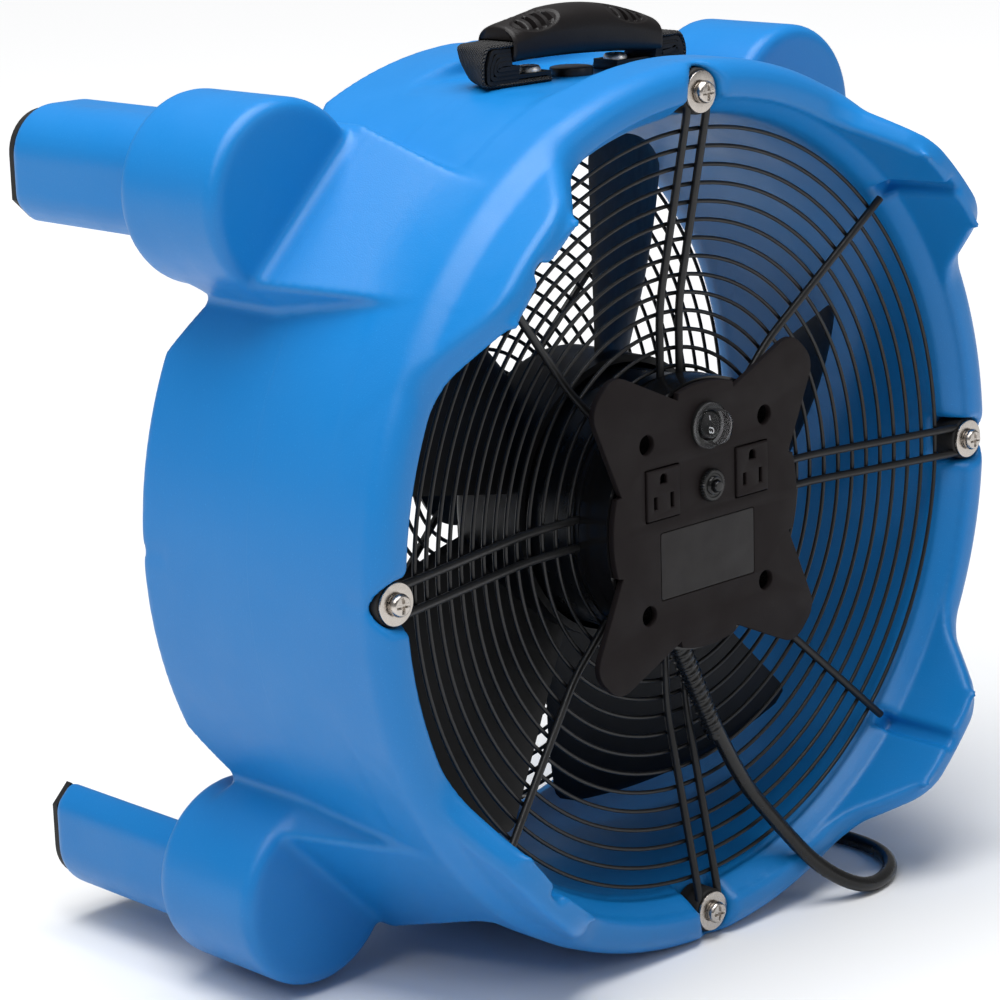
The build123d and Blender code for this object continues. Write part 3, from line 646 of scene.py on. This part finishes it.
def make_housing():
    voxel = 2.0
    margin = 3 * voxel
    span = BULGE_X + BULGE_R + margin + 6
    x = np.arange(-span, span, voxel, dtype=np.float32)[:, None, None]
    d = np.arange(-CROWN_REACH - margin, LEG_END + margin, voxel, dtype=np.float32)[None, :, None]
    z = np.arange(-span, span, voxel, dtype=np.float32)[None, None, :]
    field = np.clip(housing_field(x, d, z), -margin, margin).astype(np.float32)
    grid = openvdb.FloatGrid(margin)
    grid.copyFromArray(field)
    points, _, quads = grid.convertToPolygons(isovalue=0.0, adaptivity=0.0)
    points = points * voxel + np.array([x[0, 0, 0], d[0, 0, 0], z[0, 0, 0]])
    mesh = bpy.data.meshes.new("housing_shell")
    mesh.vertices.add(len(points))
    mesh.vertices.foreach_set("co", place(points).astype(np.float32).ravel())
    mesh.loops.add(len(quads) * 4)
    mesh.loops.foreach_set("vertex_index", quads.astype(np.int32).ravel())
    mesh.polygons.add(len(quads))
    mesh.polygons.foreach_set("loop_start", np.arange(0, len(quads) * 4, 4, dtype=np.int32))
    mesh.update(calc_edges=True)
    finished(mesh, BLUE, bmesh.ops.smooth_vert, factor=0.5, use_axis_x=True, use_axis_y=True,
             use_axis_z=True)
    housing = linked("housing_shell", mesh)
    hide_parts("housing", "housing_crown", "housing_legs")
    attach(housing, CHASSIS)


make_housing()


# ---- guards ----
RING_R, SPOKE_R = 1.15, 2.2
RING_OUTER, RING_PITCH = 205.0, 9.9
RIDE = RING_R + SPOKE_R - 0.3
LOOP_DEPTH = 3.75
SPOKE_HALF = 7.5


DISH_R, DISH_DEPTH, DISH_RISE = 110.0, 29.0, 20.0
DISH_SLOPE = DISH_RISE / (RING_OUTER - DISH_R)
DOME_R, DOME_RISE = 36.0, 7.0
INTAKE_INNER, OUTLET_INNER = 74.0, 40.0


def dish(radius):
    """Depth of the intake rings: level in the middle, then sloping out to the rim."""
    return DISH_DEPTH - DISH_SLOPE * max(0.0, radius - DISH_R)


def outlet_dome(radius):
    return DRUM_DEPTH - DOME_RISE * (radius - DOME_R) / (RING_OUTER - DOME_R)


def ring_wires(depth, innermost):
    rings = []
    for k in range(int((RING_OUTER - innermost) / RING_PITCH) + 1):
        radius = RING_OUTER - RING_PITCH * k
        path = [(radius * c, depth(radius), radius * s) for c, s in round_steps(180)]
        rings.append(tube(path, RING_R, 10, closed=True))
    return join(rings)


def double_spoke(side):
    """Two wires joined by a round loop about a rim screw; side lists (radius, depth)."""
    up = softened([(-SPOKE_HALF, d, r) for r, d in side], 14, 6, closed=False)
    loop_depth, steps = side[-1][1], 14
    loop = [(-SPOKE_HALF * cos(pi * k / steps), loop_depth, SCREW_R + SPOKE_HALF * sin(pi * k / steps))
            for k in range(steps + 1)]
    down = [(-x, d, r) for x, d, r in reversed(up)]
    return tube(up[:-1] + loop + down[1:], SPOKE_R, 14)


def intake_spokes():
    """Double spokes to the screws and single ones on the diagonals, in front of the rings."""
    flat, start, end = DISH_DEPTH - RIDE, 40, 212
    bend = DISH_R + (flat - LOOP_DEPTH) / DISH_SLOPE
    double = double_spoke([(start, flat), (DISH_R, flat), (bend, LOOP_DEPTH), (SCREW_R, LOOP_DEPTH)])
    path = [(0, flat, INTAKE_INNER), (0, flat, DISH_R), (0, flat - DISH_SLOPE * (end - DISH_R), end)]
    single = tube(softened(path, 10, 5, closed=False), SPOKE_R, 14)
    return join([quarters(double), quarters(single, 45)])


def outlet_spokes():
    """The same behind the outlet rings, on a shallow dome."""
    loop, start, bend, end = DRUM_DEPTH - LOOP_DEPTH, 34, 208, 209
    middle = outlet_dome(start) + RIDE
    double = double_spoke([(start, middle), (bend, loop), (SCREW_R, loop)])
    single = tube([(0, middle, start), (0, outlet_dome(end) + RIDE, end)], SPOKE_R, 14)
    return join([quarters(double), quarters(single, 45)])


def make_guards():
    for mouth, depth, innermost, spokes in (("intake", dish, INTAKE_INNER, intake_spokes),
                                            ("outlet", outlet_dome, OUTLET_INNER, outlet_spokes)):
        piece(f"{mouth}_ring_wires", ring_wires(depth, innermost), WIRE,
              replaces=[f"{mouth}_guard_rings"])
        piece(f"{mouth}_spoke_wires", spokes(), WIRE, replaces=[f"{mouth}_guard_spokes"])


# ---- fasteners ----
def pan_head(radius, height, recess=1.5, rows=20, around=64):
    """A domed screw head with a cross recess, standing from 0 to -height along the flow."""
    cross, arm = 0.62 * radius, 0.15 * radius
    points = []
    for i in range(rows + 1):
        r = radius * i / rows
        for c, s in round_steps(around):
            x, z = r * c, r * s
            dome = height * (1 - 0.14 * (r / radius) ** 2)
            edge = min(1.0, max(0.0, (radius - r) / (0.22 * radius)))
            top = dome * (1 - (1 - edge) ** 2 * 0.62)
            inside = min(min(abs(x), abs(z)) / arm, hypot(x, z) / cross)
            blocked = max(min(abs(x), abs(z)) / arm, hypot(x, z) / cross)
            cut = min(1.0, max(0.0, (1.15 - blocked) / 0.35)) if inside < 1.2 else 0.0
            points.append((x, -top + recess * cut, z))
    rim = (rows + 1) * around
    points += [(radius * c, 0.0, radius * s) for c, s in round_steps(around)]
    faces = grid_faces(rows + 2, around)
    faces.append(tuple(range(rim, rim + around)))
    return points, faces


def spring_washer():
    """A split ring, one end a little proud."""
    profile = [(3.3, 0.0), (5.4, 0.0), (5.4, -1.3), (3.3, -1.3)]
    ring = softened(profile, 0.25, 2)
    steps, gap = 56, radians(7)
    points = []
    for k in range(steps + 1):
        a = radians(70) + gap / 2 + (2 * pi - gap) * k / steps
        lift = -0.25 * k / steps
        points += [(r * cos(a), d * 0.85 + lift, r * sin(a)) for r, d in ring]
    columns = len(ring)
    faces = grid_faces(steps + 1, columns)
    faces += [tuple(range(columns)), tuple(range(steps * columns, (steps + 1) * columns))]
    return points, faces


def at_outlet(shape):
    points, faces = shape
    return [(p[0], DRUM_DEPTH - p[1], p[2]) for p in points], [tuple(reversed(face)) for face in faces]


def make_guard_fixings():
    flat = softened([(3.2, 0.05), (11, 0.05), (11, 1.5), (3.2, 1.5)], 0.35, 3)
    flat = lathe(flat, 72, 0, SCREW_R, closed=True)
    bush = softened([(4.0, 1.8), (12.1, 1.8), (12.1, 17.6), (4.0, 17.6)], 1.8, 5)
    bush = lathe(bush, 56, 0, SCREW_R, closed=True)
    head = moved(pan_head(6.0, 3.6), 0, -1.4, SCREW_R)
    spring = moved(spring_washer(), 0, 0.05, SCREW_R)
    for kind, shape, material, slot in (("screws", head, STEEL, "steel"), ("washers", flat, STEEL, "steel"),
                                        ("spring_washers", spring, STEEL, "steel"),
                                        ("isolators", bush, RUBBER, "rubber")):
        around = quarters(shape)
        piece(f"intake_{kind}_detail", around, material, replaces=[f"intake_{kind}"])
        piece(f"outlet_{kind}_detail", at_outlet(around), material, replaces=[f"outlet_{kind}"])


make_guards()
make_guard_fixings()


# ---- control plate ----
HOLE_PITCH = 46.2
ROCKER_X, ROCKER_Z = 0.0, 49.0
BREAKER_X, BREAKER_Z = 2.0, 16.0
OUTLET_X, OUTLET_Z = 35.0, 18.5
LABEL_HALF_X, LABEL_HALF_Z, LABEL_Z = 37.0, 18.5, -21.5


def plate_outline():
    """A disc with a blunt lobe on each diagonal, meeting in sharp notches."""
    disc_r = 72.5
    lobe = [(62, -31), (111.5, -12.5), (111.5, 12.5), (62, 31)]
    tip = softened(lobe, 10, 8, closed=False)
    start_angle = atan2(31, 62)
    outline = []
    for quadrant in range(4):
        turn = pi / 4 + quadrant * pi / 2
        for px, pz in tip:
            outline.append((px * cos(turn) - pz * sin(turn), px * sin(turn) + pz * cos(turn)))
        first = turn + start_angle
        last = turn + pi / 2 - start_angle
        notch = radians(1.5)
        steps = 10
        for k in range(steps + 1):
            a = first + notch + (last - first - 2 * notch) * k / steps
            outline.append((disc_r * cos(a), disc_r * sin(a)))
    return outline


def receptacle(x):
    """Raised face with a ground hole over two blade slots, in a dark gap."""
    ground = [(x + 2.6 * cos(a), OUTLET_Z + 8.2 + 2.6 * sin(a)) for a in [pi * k / 12 for k in range(13)]]
    ground += [(x - 2.6, OUTLET_Z + 5.4), (x + 2.6, OUTLET_Z + 5.4)]
    slots = [rectangle(1.25, half, x + offset, OUTLET_Z - 4.4, 0.2)
             for offset, half in ((-6.35, 3.4), (6.35, 4.1))]
    return slab(rectangle(12.5, 13.5, x, OUTLET_Z, 0.8), -1.2, 1.6, 0.7, [ground, *slots])


def make_control_plate():
    holes = [circle(5.5, x, z) for x in (-HOLE_PITCH, HOLE_PITCH) for z in (-HOLE_PITCH, HOLE_PITCH)]
    holes += [circle(10.1, ROCKER_X, ROCKER_Z), circle(5.1, BREAKER_X, BREAKER_Z)]
    holes += [rectangle(13.1, 14.1, x, OUTLET_Z, 0.8) for x in (-OUTLET_X, OUTLET_X)]
    label = rectangle(LABEL_HALF_X, LABEL_HALF_Z, 0, LABEL_Z, 1.5)
    front = slab(plate_outline(), 0.0, 4.0, 0.55, holes + [label])
    back = slab(rectangle(LABEL_HALF_X + 1.5, LABEL_HALF_Z + 1, 0, LABEL_Z, 1.0), 0.75, 3.9, 0.2)
    piece("control_plate_face", join([front, back]), PANEL, replaces=["control_plate"])
    inner = rectangle(LABEL_HALF_X - 0.4, LABEL_HALF_Z - 0.4, 0, LABEL_Z, 1.4)
    piece("label_panel", slab(inner, 0.12, 0.9, 0.08), LABEL, replaces=["label_plate"])
    for side, x in (("left", -OUTLET_X), ("right", OUTLET_X)):
        body = slab(rectangle(12.4, 13.4, x, OUTLET_Z, 0.8), 6.0, 18.4, 0.5)
        piece(f"receptacle_{side}", join([receptacle(x), body]), PANEL, replaces=[f"outlet_{side}"])


def make_switch():
    """Round rocker with its two marks, under a clear stepped boot."""
    bezel = lathe([(8.6, 4), (8.6, -1.5), (9.0, -2.0), (12.0, -2.0), (12.5, -1.6), (12.5, 0.0), (10.0, 0.0),
                   (10.0, 16.0), (8.6, 16.0)], 64, ROCKER_X, ROCKER_Z, closed=True)
    piece("rocker_bezel_ring", bezel, BLACK, replaces=["rocker_bezel"])
    rows, around, radius, pivot, ball = 22, 64, 6.95, 1.5, 8.4
    tilt = radians(-12.0)
    points = []

    def face_depth(z):
        hollow = 0.9 * (1 - (z / radius) ** 2)
        return -3.2 + hollow

    def tilted(x, depth, z):
        lean = depth - pivot
        return (ROCKER_X + x, pivot + lean * cos(tilt) - z * sin(tilt),
                ROCKER_Z + lean * sin(tilt) + z * cos(tilt))

    for i in range(rows + 1):
        r = radius * i / rows
        for c, s in round_steps(around):
            x, z = r * c, r * s
            points.append(tilted(x, face_depth(z) + 0.4 * max(0.0, r / radius - 0.92) / 0.08, z))
    side = (-2.4, -1.5, -0.5, 0.6, 3.4)
    for depth in side:
        r = min(8.1, (ball ** 2 - (depth - pivot) ** 2) ** 0.5)
        points += [tilted(r * c, depth, r * s) for c, s in round_steps(around)]
    count = rows + 1 + len(side)
    faces = grid_faces(count, around)
    faces.append(tuple(range((count - 1) * around, count * around)))
    piece("rocker_face", (points, faces), BLACK, body="rocker", replaces=["rocker"])
    proud, line, ring_z = 0.12, 0.28, -3.6
    bar = [tilted(0, face_depth(z) - proud, z) for z in (2.2, 3.0, 3.8, 4.6)]
    ring = [tilted(1.15 * c, face_depth(ring_z + 1.5 * s) - proud, ring_z + 1.5 * s)
            for c, s in round_steps(24)]
    marks = join([tube(bar, line, 8), tube(ring, line, 8, closed=True)])
    piece("rocker_marks", marks, MARK, body="rocker")
    boot = [(12.4, -2.05), (12.4, -3.6), (11.9, -4.0), (10.9, -4.1), (10.6, -4.9), (10.1, -5.2), (9.8, -6.2),
            (9.5, -10.0), (9.0, -10.7), (8.4, -10.8), (0.0, -10.8), (0.0, -10.1), (8.2, -10.1), (8.8, -9.7),
            (8.95, -6.0), (9.0, -2.05)]
    piece("clear_boot", lathe(boot, 72, ROCKER_X, ROCKER_Z, closed=True), CLEAR,
          replaces=["rocker_boot"], sharp=50)


def make_breaker():
    """Knurled nut round a threaded neck, with a glossy button."""
    around, teeth = 144, 36
    points = []
    profile = [(5.1, 0.0), (8.0, 0.0), (8.6, -0.5), (8.6, -2.4), (8.0, -3.2), (6.6, -3.3), (6.2, -2.9),
               (5.1, -2.9)]
    for r, d in profile:
        for k in range(around):
            a = 2 * pi * k / around
            knurl = 0.28 * cos(teeth * a) if r > 7 else 0.0
            points.append((BREAKER_X + (r + knurl) * cos(a), d, BREAKER_Z + (r + knurl) * sin(a)))
    nut = (points, grid_faces(len(profile), around, wrap_rows=True))
    piece("breaker_knurled_nut", nut, BLACK, replaces=["breaker_nut"])
    neck = [(3.35, 8.0), (3.35, -4.3), (3.7, -4.6), (4.6, -4.6)]
    neck += [(5.0 - 0.25 * (k % 2), -4.2 + 0.35 * k) for k in range(12)] + [(5.0, 4.5), (5.0, 8.0)]
    body = slab(rectangle(7, 12, BREAKER_X, BREAKER_Z, 1.0), 4.2, 19.0, 0.4)
    piece("breaker_neck", join([lathe(neck, 48, BREAKER_X, BREAKER_Z, closed=True), body]), BOX_BLACK,
          replaces=["breaker_body"])
    button = [(0.0, -7.1), (1.6, -7.2), (2.6, -7.0), (3.1, -6.4), (3.2, -5.6), (3.2, 1.5), (0.0, 1.5)]
    piece("breaker_button", lathe(button, 48, BREAKER_X, BREAKER_Z), BOX_BLACK,
          body="reset_button", replaces=["reset_button"])


make_control_plate()
make_switch()
make_breaker()


# ---- fan ----
FAN_R, HUB_R, BLADES = 196.0, 78.0, 5
BLADE_LEAD_ANGLE = 97.0


def blade_point(radius, along):
    """A blade's middle surface; along runs from its leading to its trailing edge."""
    inward = (FAN_R - radius) / (FAN_R - HUB_R)
    lead, trail = 60 + 12 * inward, 130 - 18 * inward
    angle = radians(BLADE_LEAD_ANGLE - (40 + 10 * inward) * along)
    depth = lead + (trail - lead) * along * (0.78 + 0.22 * along)
    return Vector((radius * cos(angle), depth, radius * sin(angle)))


def fan_blade():
    """One blade, thick at the root and in the middle, with rounded tip corners."""
    rows, columns, corner = 36, 30, 9.0
    front, back = [], []
    for i in range(rows + 1):
        radius = HUB_R - 1.5 + (FAN_R - HUB_R + 1.5) * (i / rows)
        beyond = max(0.0, radius - (FAN_R - corner)) / corner
        inset = corner / 130.0 * (1 - (1 - min(1.0, beyond) ** 2) ** 0.5)
        for j in range(columns + 1):
            share = j / columns
            along = inset + (1 - 2 * inset) * share
            centre = blade_point(radius, along)
            side = blade_point(radius + 0.5, along) - blade_point(radius - 0.5, along)
            chord = blade_point(radius, along + 0.01) - blade_point(radius, along - 0.01)
            normal = side.cross(chord).normalized()
            edge = (1 - (2 * share - 1) ** 6) ** 0.5 if 0 < j < columns else 0.0
            end = min(1.0, (FAN_R - radius) / 1.5) ** 0.5 if i < rows else 0.0
            half = 1.4 * edge * end * (1 + 0.8 * max(0.0, 1 - (radius - HUB_R) / 20))
            rib = 0.9 * max(0.0, 1 - ((share - 0.62) / 0.012) ** 2)
            rib *= min(1.0, max(0.0, (FAN_R - 14 - radius) / 10))
            front.append(tuple(centre + normal * half))
            back.append(tuple(centre - normal * (half + rib * edge)))
    sheet = grid_faces(rows + 1, columns + 1, wrap_columns=False)
    count = len(front)
    faces = sheet + [tuple(count + i for i in reversed(face)) for face in sheet]
    points = front + back
    faces += [(j, j + 1, count + j + 1, count + j) for j in range(columns)]
    return points, faces


def make_fan():
    blades = join([turned(fan_blade(), 360 / BLADES * k) for k in range(BLADES)])
    piece("fan_blade_set", blades, FAN_BLACK, body="fan", replaces=["fan_blades"], sharp=60)


make_fan()


# ---- handle ----
GRIP_END, GRIP_TOP, GRIP_HALF = 56.5, 267.0, 14.5
STRAP_WIDTH, STRAP_THICK = 25.0, 2.6
FOLD_X, FOLD_START = 76.0, 66.0
BRACKET_X = 33.0


def fold_top(x):
    """Height of the strap where it folds into the grip: the right fold is pressed flatter."""
    return 249.0 if x < 0 else 243.5


def grip_heights(x):
    """The arched grip's lower and upper height at x; it lies a little lower on the right."""
    share, roll = (x / GRIP_END) ** 2, 0.042 * x
    return 239.8 - 2.0 * share - roll, GRIP_TOP - 0.5 - 10.0 * share - roll


def signed_power(value, exponent):
    return copysign(abs(value) ** exponent, value)


def make_grip():
    """Arched soft grip with an oval thumb recess, ribbed inside, at each end of both long sides."""
    stations, around = 226, 104
    points = []
    for i in range(stations + 1):
        x = -GRIP_END + 2 * GRIP_END * i / stations
        low, high = grip_heights(x)
        middle, tall = (low + high) / 2, (high - low) / 2
        near_end = max(0.0, (abs(x) - (GRIP_END - 1.6)) / 1.6)
        shrink = 1 - 0.09 * near_end ** 2
        for c, s in round_steps(around):
            exponent = 0.925 if s > 0 else 0.425
            depth, height = GRIP_HALF * signed_power(c, exponent), tall * signed_power(s, exponent)
            length = hypot(depth, height)
            for centre_x in (-36.0, 33.0):
                across = (x - centre_x) / 15.5
                up = (atan2(height, abs(depth)) - radians(48)) / radians(33)
                inside = across * across + up * up
                dip = min(1.0, max(0.0, (1.12 - inside) / 0.18))
                slot = min(1.0, max(0.0, (-cos(2 * pi * (x - centre_x) / 6.4) + 0.1) / 0.5))
                inner = min(1.0, max(0.0, (0.72 - inside) / 0.12))
                length -= 1.0 * dip + 3.6 * inner * slot
            scale = length / hypot(depth, height) * shrink
            points.append((x, HANDLE_DEPTH + depth * scale, middle + height * scale))
    faces = grid_faces(stations + 1, around)
    for x, edge in ((-GRIP_END, 0), (GRIP_END, stations * around)):
        ring = len(points)
        middle = fold_top(x) + 0.8
        points += [(x * 0.985, HANDLE_DEPTH + 12.9 * signed_power(c, 0.3),
                    middle + 2.2 * signed_power(s, 0.3)) for c, s in round_steps(around)]
        for k in range(around):
            k2 = (k + 1) % around
            faces.append((edge + k, edge + k2, ring + k2, ring + k))
    piece("grip_moulding", (points, faces), GRIP, body="handle", replaces=["handle_grip"], sharp=50)


def strap_side(side):
    """Half of the strap's middle line in (x, height), from its clamp to the grip."""
    low, top = SEAT_HEIGHT + 0.1 + STRAP_THICK / 2, fold_top(side)
    run = [(28.0, low), (48.0, low + 0.1), (FOLD_START - 2, low + 0.2)]
    run += softened([(FOLD_START, low + 0.3), (77.5, low + 0.6), (77.0, (low + top) / 2 + 2.0),
                     (73.5, top + 0.8), (FOLD_START, top + 0.6)], 2.6, 4, closed=False)
    run += [(GRIP_END - 1, top + 0.8), (GRIP_END - 8, top + 1.2), (20.0, 252.5 - 0.03 * side * 20)]
    return [(side * x, h) for x, h in run]


def strap_path():
    """The strap's middle line from the left clamp through the grip to the right clamp."""
    return strap_side(-1) + [(0.0, 254.0)] + list(reversed(strap_side(1)))


def tucked(x, across, height):
    """How far the rear edge of a fold is pulled in near the seat, where it twists into its clamp."""
    top = fold_top(x)
    reach = min(1.0, max(0.0, (abs(x) - 56.0) / 14.0))
    lift = min(1.0, max(0.0, (height - SEAT_HEIGHT) / (top - SEAT_HEIGHT)))
    rear = (across / (STRAP_WIDTH / 2) + 1) / 2
    return x - copysign(15.0 * rear * reach * (1 - lift), x)


def square_to(line, i):
    """The direction square to a line in x and height, at its point i."""
    tangent = (line[min(i + 1, len(line) - 1)] - line[max(i - 1, 0)]).normalized()
    return Vector((-tangent.z, 0, tangent.x))


def bend_with_handle(webbing_piece):
    """Bake the webbing's placement into its mesh; it is bound neither to the drum nor to the grip."""
    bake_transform(webbing_piece)


def make_strap():
    """One woven strap, with rounded edges and UVs in millimetres along and across."""
    line = [Vector((x, 0, h)) for x, h in strap_path()]
    spaced = [line[0]]
    for start, end in zip(line, line[1:]):
        steps = max(1, ceil((end - start).length / 1.2))
        spaced += [start.lerp(end, k / steps) for k in range(1, steps + 1)]
    for _ in range(3):
        inner = [(a + b * 2 + c) / 4 for a, b, c in zip(spaced, spaced[1:], spaced[2:])]
        spaced = [spaced[0], *inner, spaced[-1]]
    half = STRAP_WIDTH / 2
    across = [half * (2 * k / 24 - 1) for k in range(25)]
    section = [(v, STRAP_THICK / 2 * (1 - abs(v / half) ** 14) ** 0.5) for v in across]
    loop = section + [(v, -h) for v, h in reversed(section[1:-1])]
    points, measures = [], []
    length = 0.0
    for i, centre in enumerate(spaced):
        normal = square_to(spaced, i)
        if i:
            length += (centre - spaced[i - 1]).length
        bunch = 1.0 - 0.08 * max(0.0, 1 - ((abs(centre.x) - FOLD_X + 2) / 9) ** 2)
        for v, h in loop:
            weave = 0.14 * sin(2 * pi * length / 2.1) * sin(2 * pi * v / 1.55)
            point = centre + normal * (h + weave * (1 if h > 0 else -1))
            points.append((tucked(point.x, v, point.z), HANDLE_DEPTH + v * bunch, point.z))
            measures.append((length, v))
    columns = len(loop)
    faces = grid_faces(len(spaced), columns)
    faces += [tuple(range(columns)), tuple(range((len(spaced) - 1) * columns, len(spaced) * columns))]
    strap = piece("woven_strap", (points, faces), WEBBING,
                  replaces=["strap_ends", "strap_folds", "handle_strap"], sharp=70, ride=False)
    layer = strap.data.uv_layers.new(name="weave")
    tree = {}
    for point, measure in zip(place(points), measures):
        tree[tuple(np.round(point, 6))] = measure
    for loop_item in strap.data.loops:
        co = strap.data.vertices[loop_item.vertex_index].co
        layer.data[loop_item.index].uv = tree.get(tuple(np.round(np.array(co, float), 6)), (0.0, 0.0))
    bend_with_handle(strap)


def make_fold_plies():
    """The doubled webbing bunched inside each fold, which closes the loop."""
    low = SEAT_HEIGHT + 0.1 + STRAP_THICK
    half = STRAP_WIDTH / 2 - 0.8
    plies = []
    for side, inset in product((-1, 1), (0.6, 2.8, 5.0, 7.2)):
        top = fold_top(side)
        profile = softened([(52.0, low + inset), (75.0 - inset, low + inset),
                            (74.4 - inset, (low + top) / 2), (71.0 - inset, top - 1.0 - inset),
                            (57.5, top - 1.4 - inset)], 2.0, 4, closed=False)
        outline = [Vector((side * x, 0, h)) for x, h in profile]
        points = []
        for i, centre in enumerate(outline):
            normal = square_to(outline, i)
            for v, h in ((-half, -1.1), (half, -1.1), (half, 1.1), (-half, 1.1)):
                point = centre + normal * h
                points.append((tucked(point.x, v, point.z), HANDLE_DEPTH + v - 0.15 * inset, point.z))
        faces = grid_faces(len(outline), 4)
        faces += [(0, 1, 2, 3), tuple(range(len(points) - 4, len(points)))]
        plies.append((points, faces))
    folded = piece("fold_plies", join(plies), FOLD_WEBBING, ride=False)
    bend_with_handle(folded)


def upright(shape):
    """A slab made facing the intake, laid flat on the handle's seat facing up."""
    points, faces = shape
    return [(p[0], HANDLE_DEPTH + p[2], SEAT_HEIGHT - p[1]) for p in points], faces


def make_brackets():
    """Moulded clamps with a raised border, over the strap's tails."""
    inner, outer, half, border_width = 25.0, 57.0, 9.2, 1.6
    middle, reach = (inner + outer) / 2, (outer - inner) / 2
    outline = rectangle(reach, half, middle, 0, 1.2)
    tray = rectangle(reach - border_width, half - border_width, middle, 0, 0.8)
    base = slab(outline, -4.6, -3.0, 0.5)
    border = slab(outline, -5.6, -4.2, 0.35, [tray])
    skirt = slab(rectangle(1.4, half, inner + 1.4, 0, 0.6), -3.4, -0.05, 0.2)
    clamp = upright(join([base, border, skirt]))
    piece("strap_clamps", join([clamp, mirrored_x(clamp)]), BLACK,
          replaces=["strap_brackets"])
    head = upright(moved(pan_head(6.6, 4.0), 0, -4.7, 0))
    screws = join([moved(head, x, 0, 0) for x in (-BRACKET_X, BRACKET_X)])
    piece("clamp_screws", screws, ZINC, replaces=["bracket_screws"])
    plug = lathe([(0.0, -4.4), (10.9, -4.4), (11.5, -4.2), (11.8, -3.6), (11.8, -0.1), (7.9, -0.1),
                  (7.9, 6.0), (0.0, 6.0)], 64)
    piece("round_plug", moved(upright(plug), 0, 1.0, 0), BLACK, replaces=["vent_plug"])


make_grip()
make_strap()
make_fold_plies()
make_brackets()
dress_nodes()


# ---- stage ----
def area_light(name, location, target, size, power, colour=(1, 1, 1)):
    data = bpy.data.lights.new(name, "AREA")
    data.shape, data.size, data.energy, data.color = "SQUARE", size, power, colour
    lamp = linked(name, data)
    lamp.location = location
    lamp.rotation_euler = (Vector(target) - Vector(location)).to_track_quat("-Z", "Y").to_euler()


def make_stage():
    mesh = bpy.data.meshes.new("floor")
    reach = 12.0
    mesh.from_pydata([(-reach, -reach, 0), (reach, -reach, 0), (reach, reach, 0), (-reach, reach, 0)], [],
                     [(0, 1, 2, 3)])
    # Painted light: the white floor glows, with no glow near the object rising to 0.72 at 2.5 m out. This
    # brightens the backdrop and lights the object from low down like a white sweep.
    white = Surface("floor_white_painted_glow", (0.93, 0.935, 0.94), 0.6)
    distance = white.nodes.new("ShaderNodeVectorMath")
    distance.operation = "LENGTH"
    white.links.new(white.place, distance.inputs[0])
    painted_floor_glow = white.ramp(distance.outputs["Value"], 0.5, 2.5, 0.0, 0.72)
    white.links.new(painted_floor_glow, white.shader.inputs["Emission Strength"])
    white.set(Emission_Color=(1, 1, 1, 1))
    mesh.materials.append(white.material)
    ground = linked("floor", mesh)
    world = bpy.data.worlds.new("studio")
    world.use_nodes = True
    world.node_tree.nodes["Background"].inputs["Color"].default_value = (0.97, 0.98, 1.0, 1)
    world.node_tree.nodes["Background"].inputs["Strength"].default_value = 0.24
    bpy.context.scene.world = world
    area_light("top_light", (-0.3, -0.1, 2.2), (0, 0, 0.25), 1.8, 64)
    area_light("left_light", (-1.8, -0.3, 1.9), (0, 0, 0.3), 1.0, 11)
    area_light("front_light", (0.7, -2.2, 1.4), (0, 0, 0.2), 1.0, 4.5)
    bpy.context.scene.view_settings.view_transform = "Standard"


make_stage()
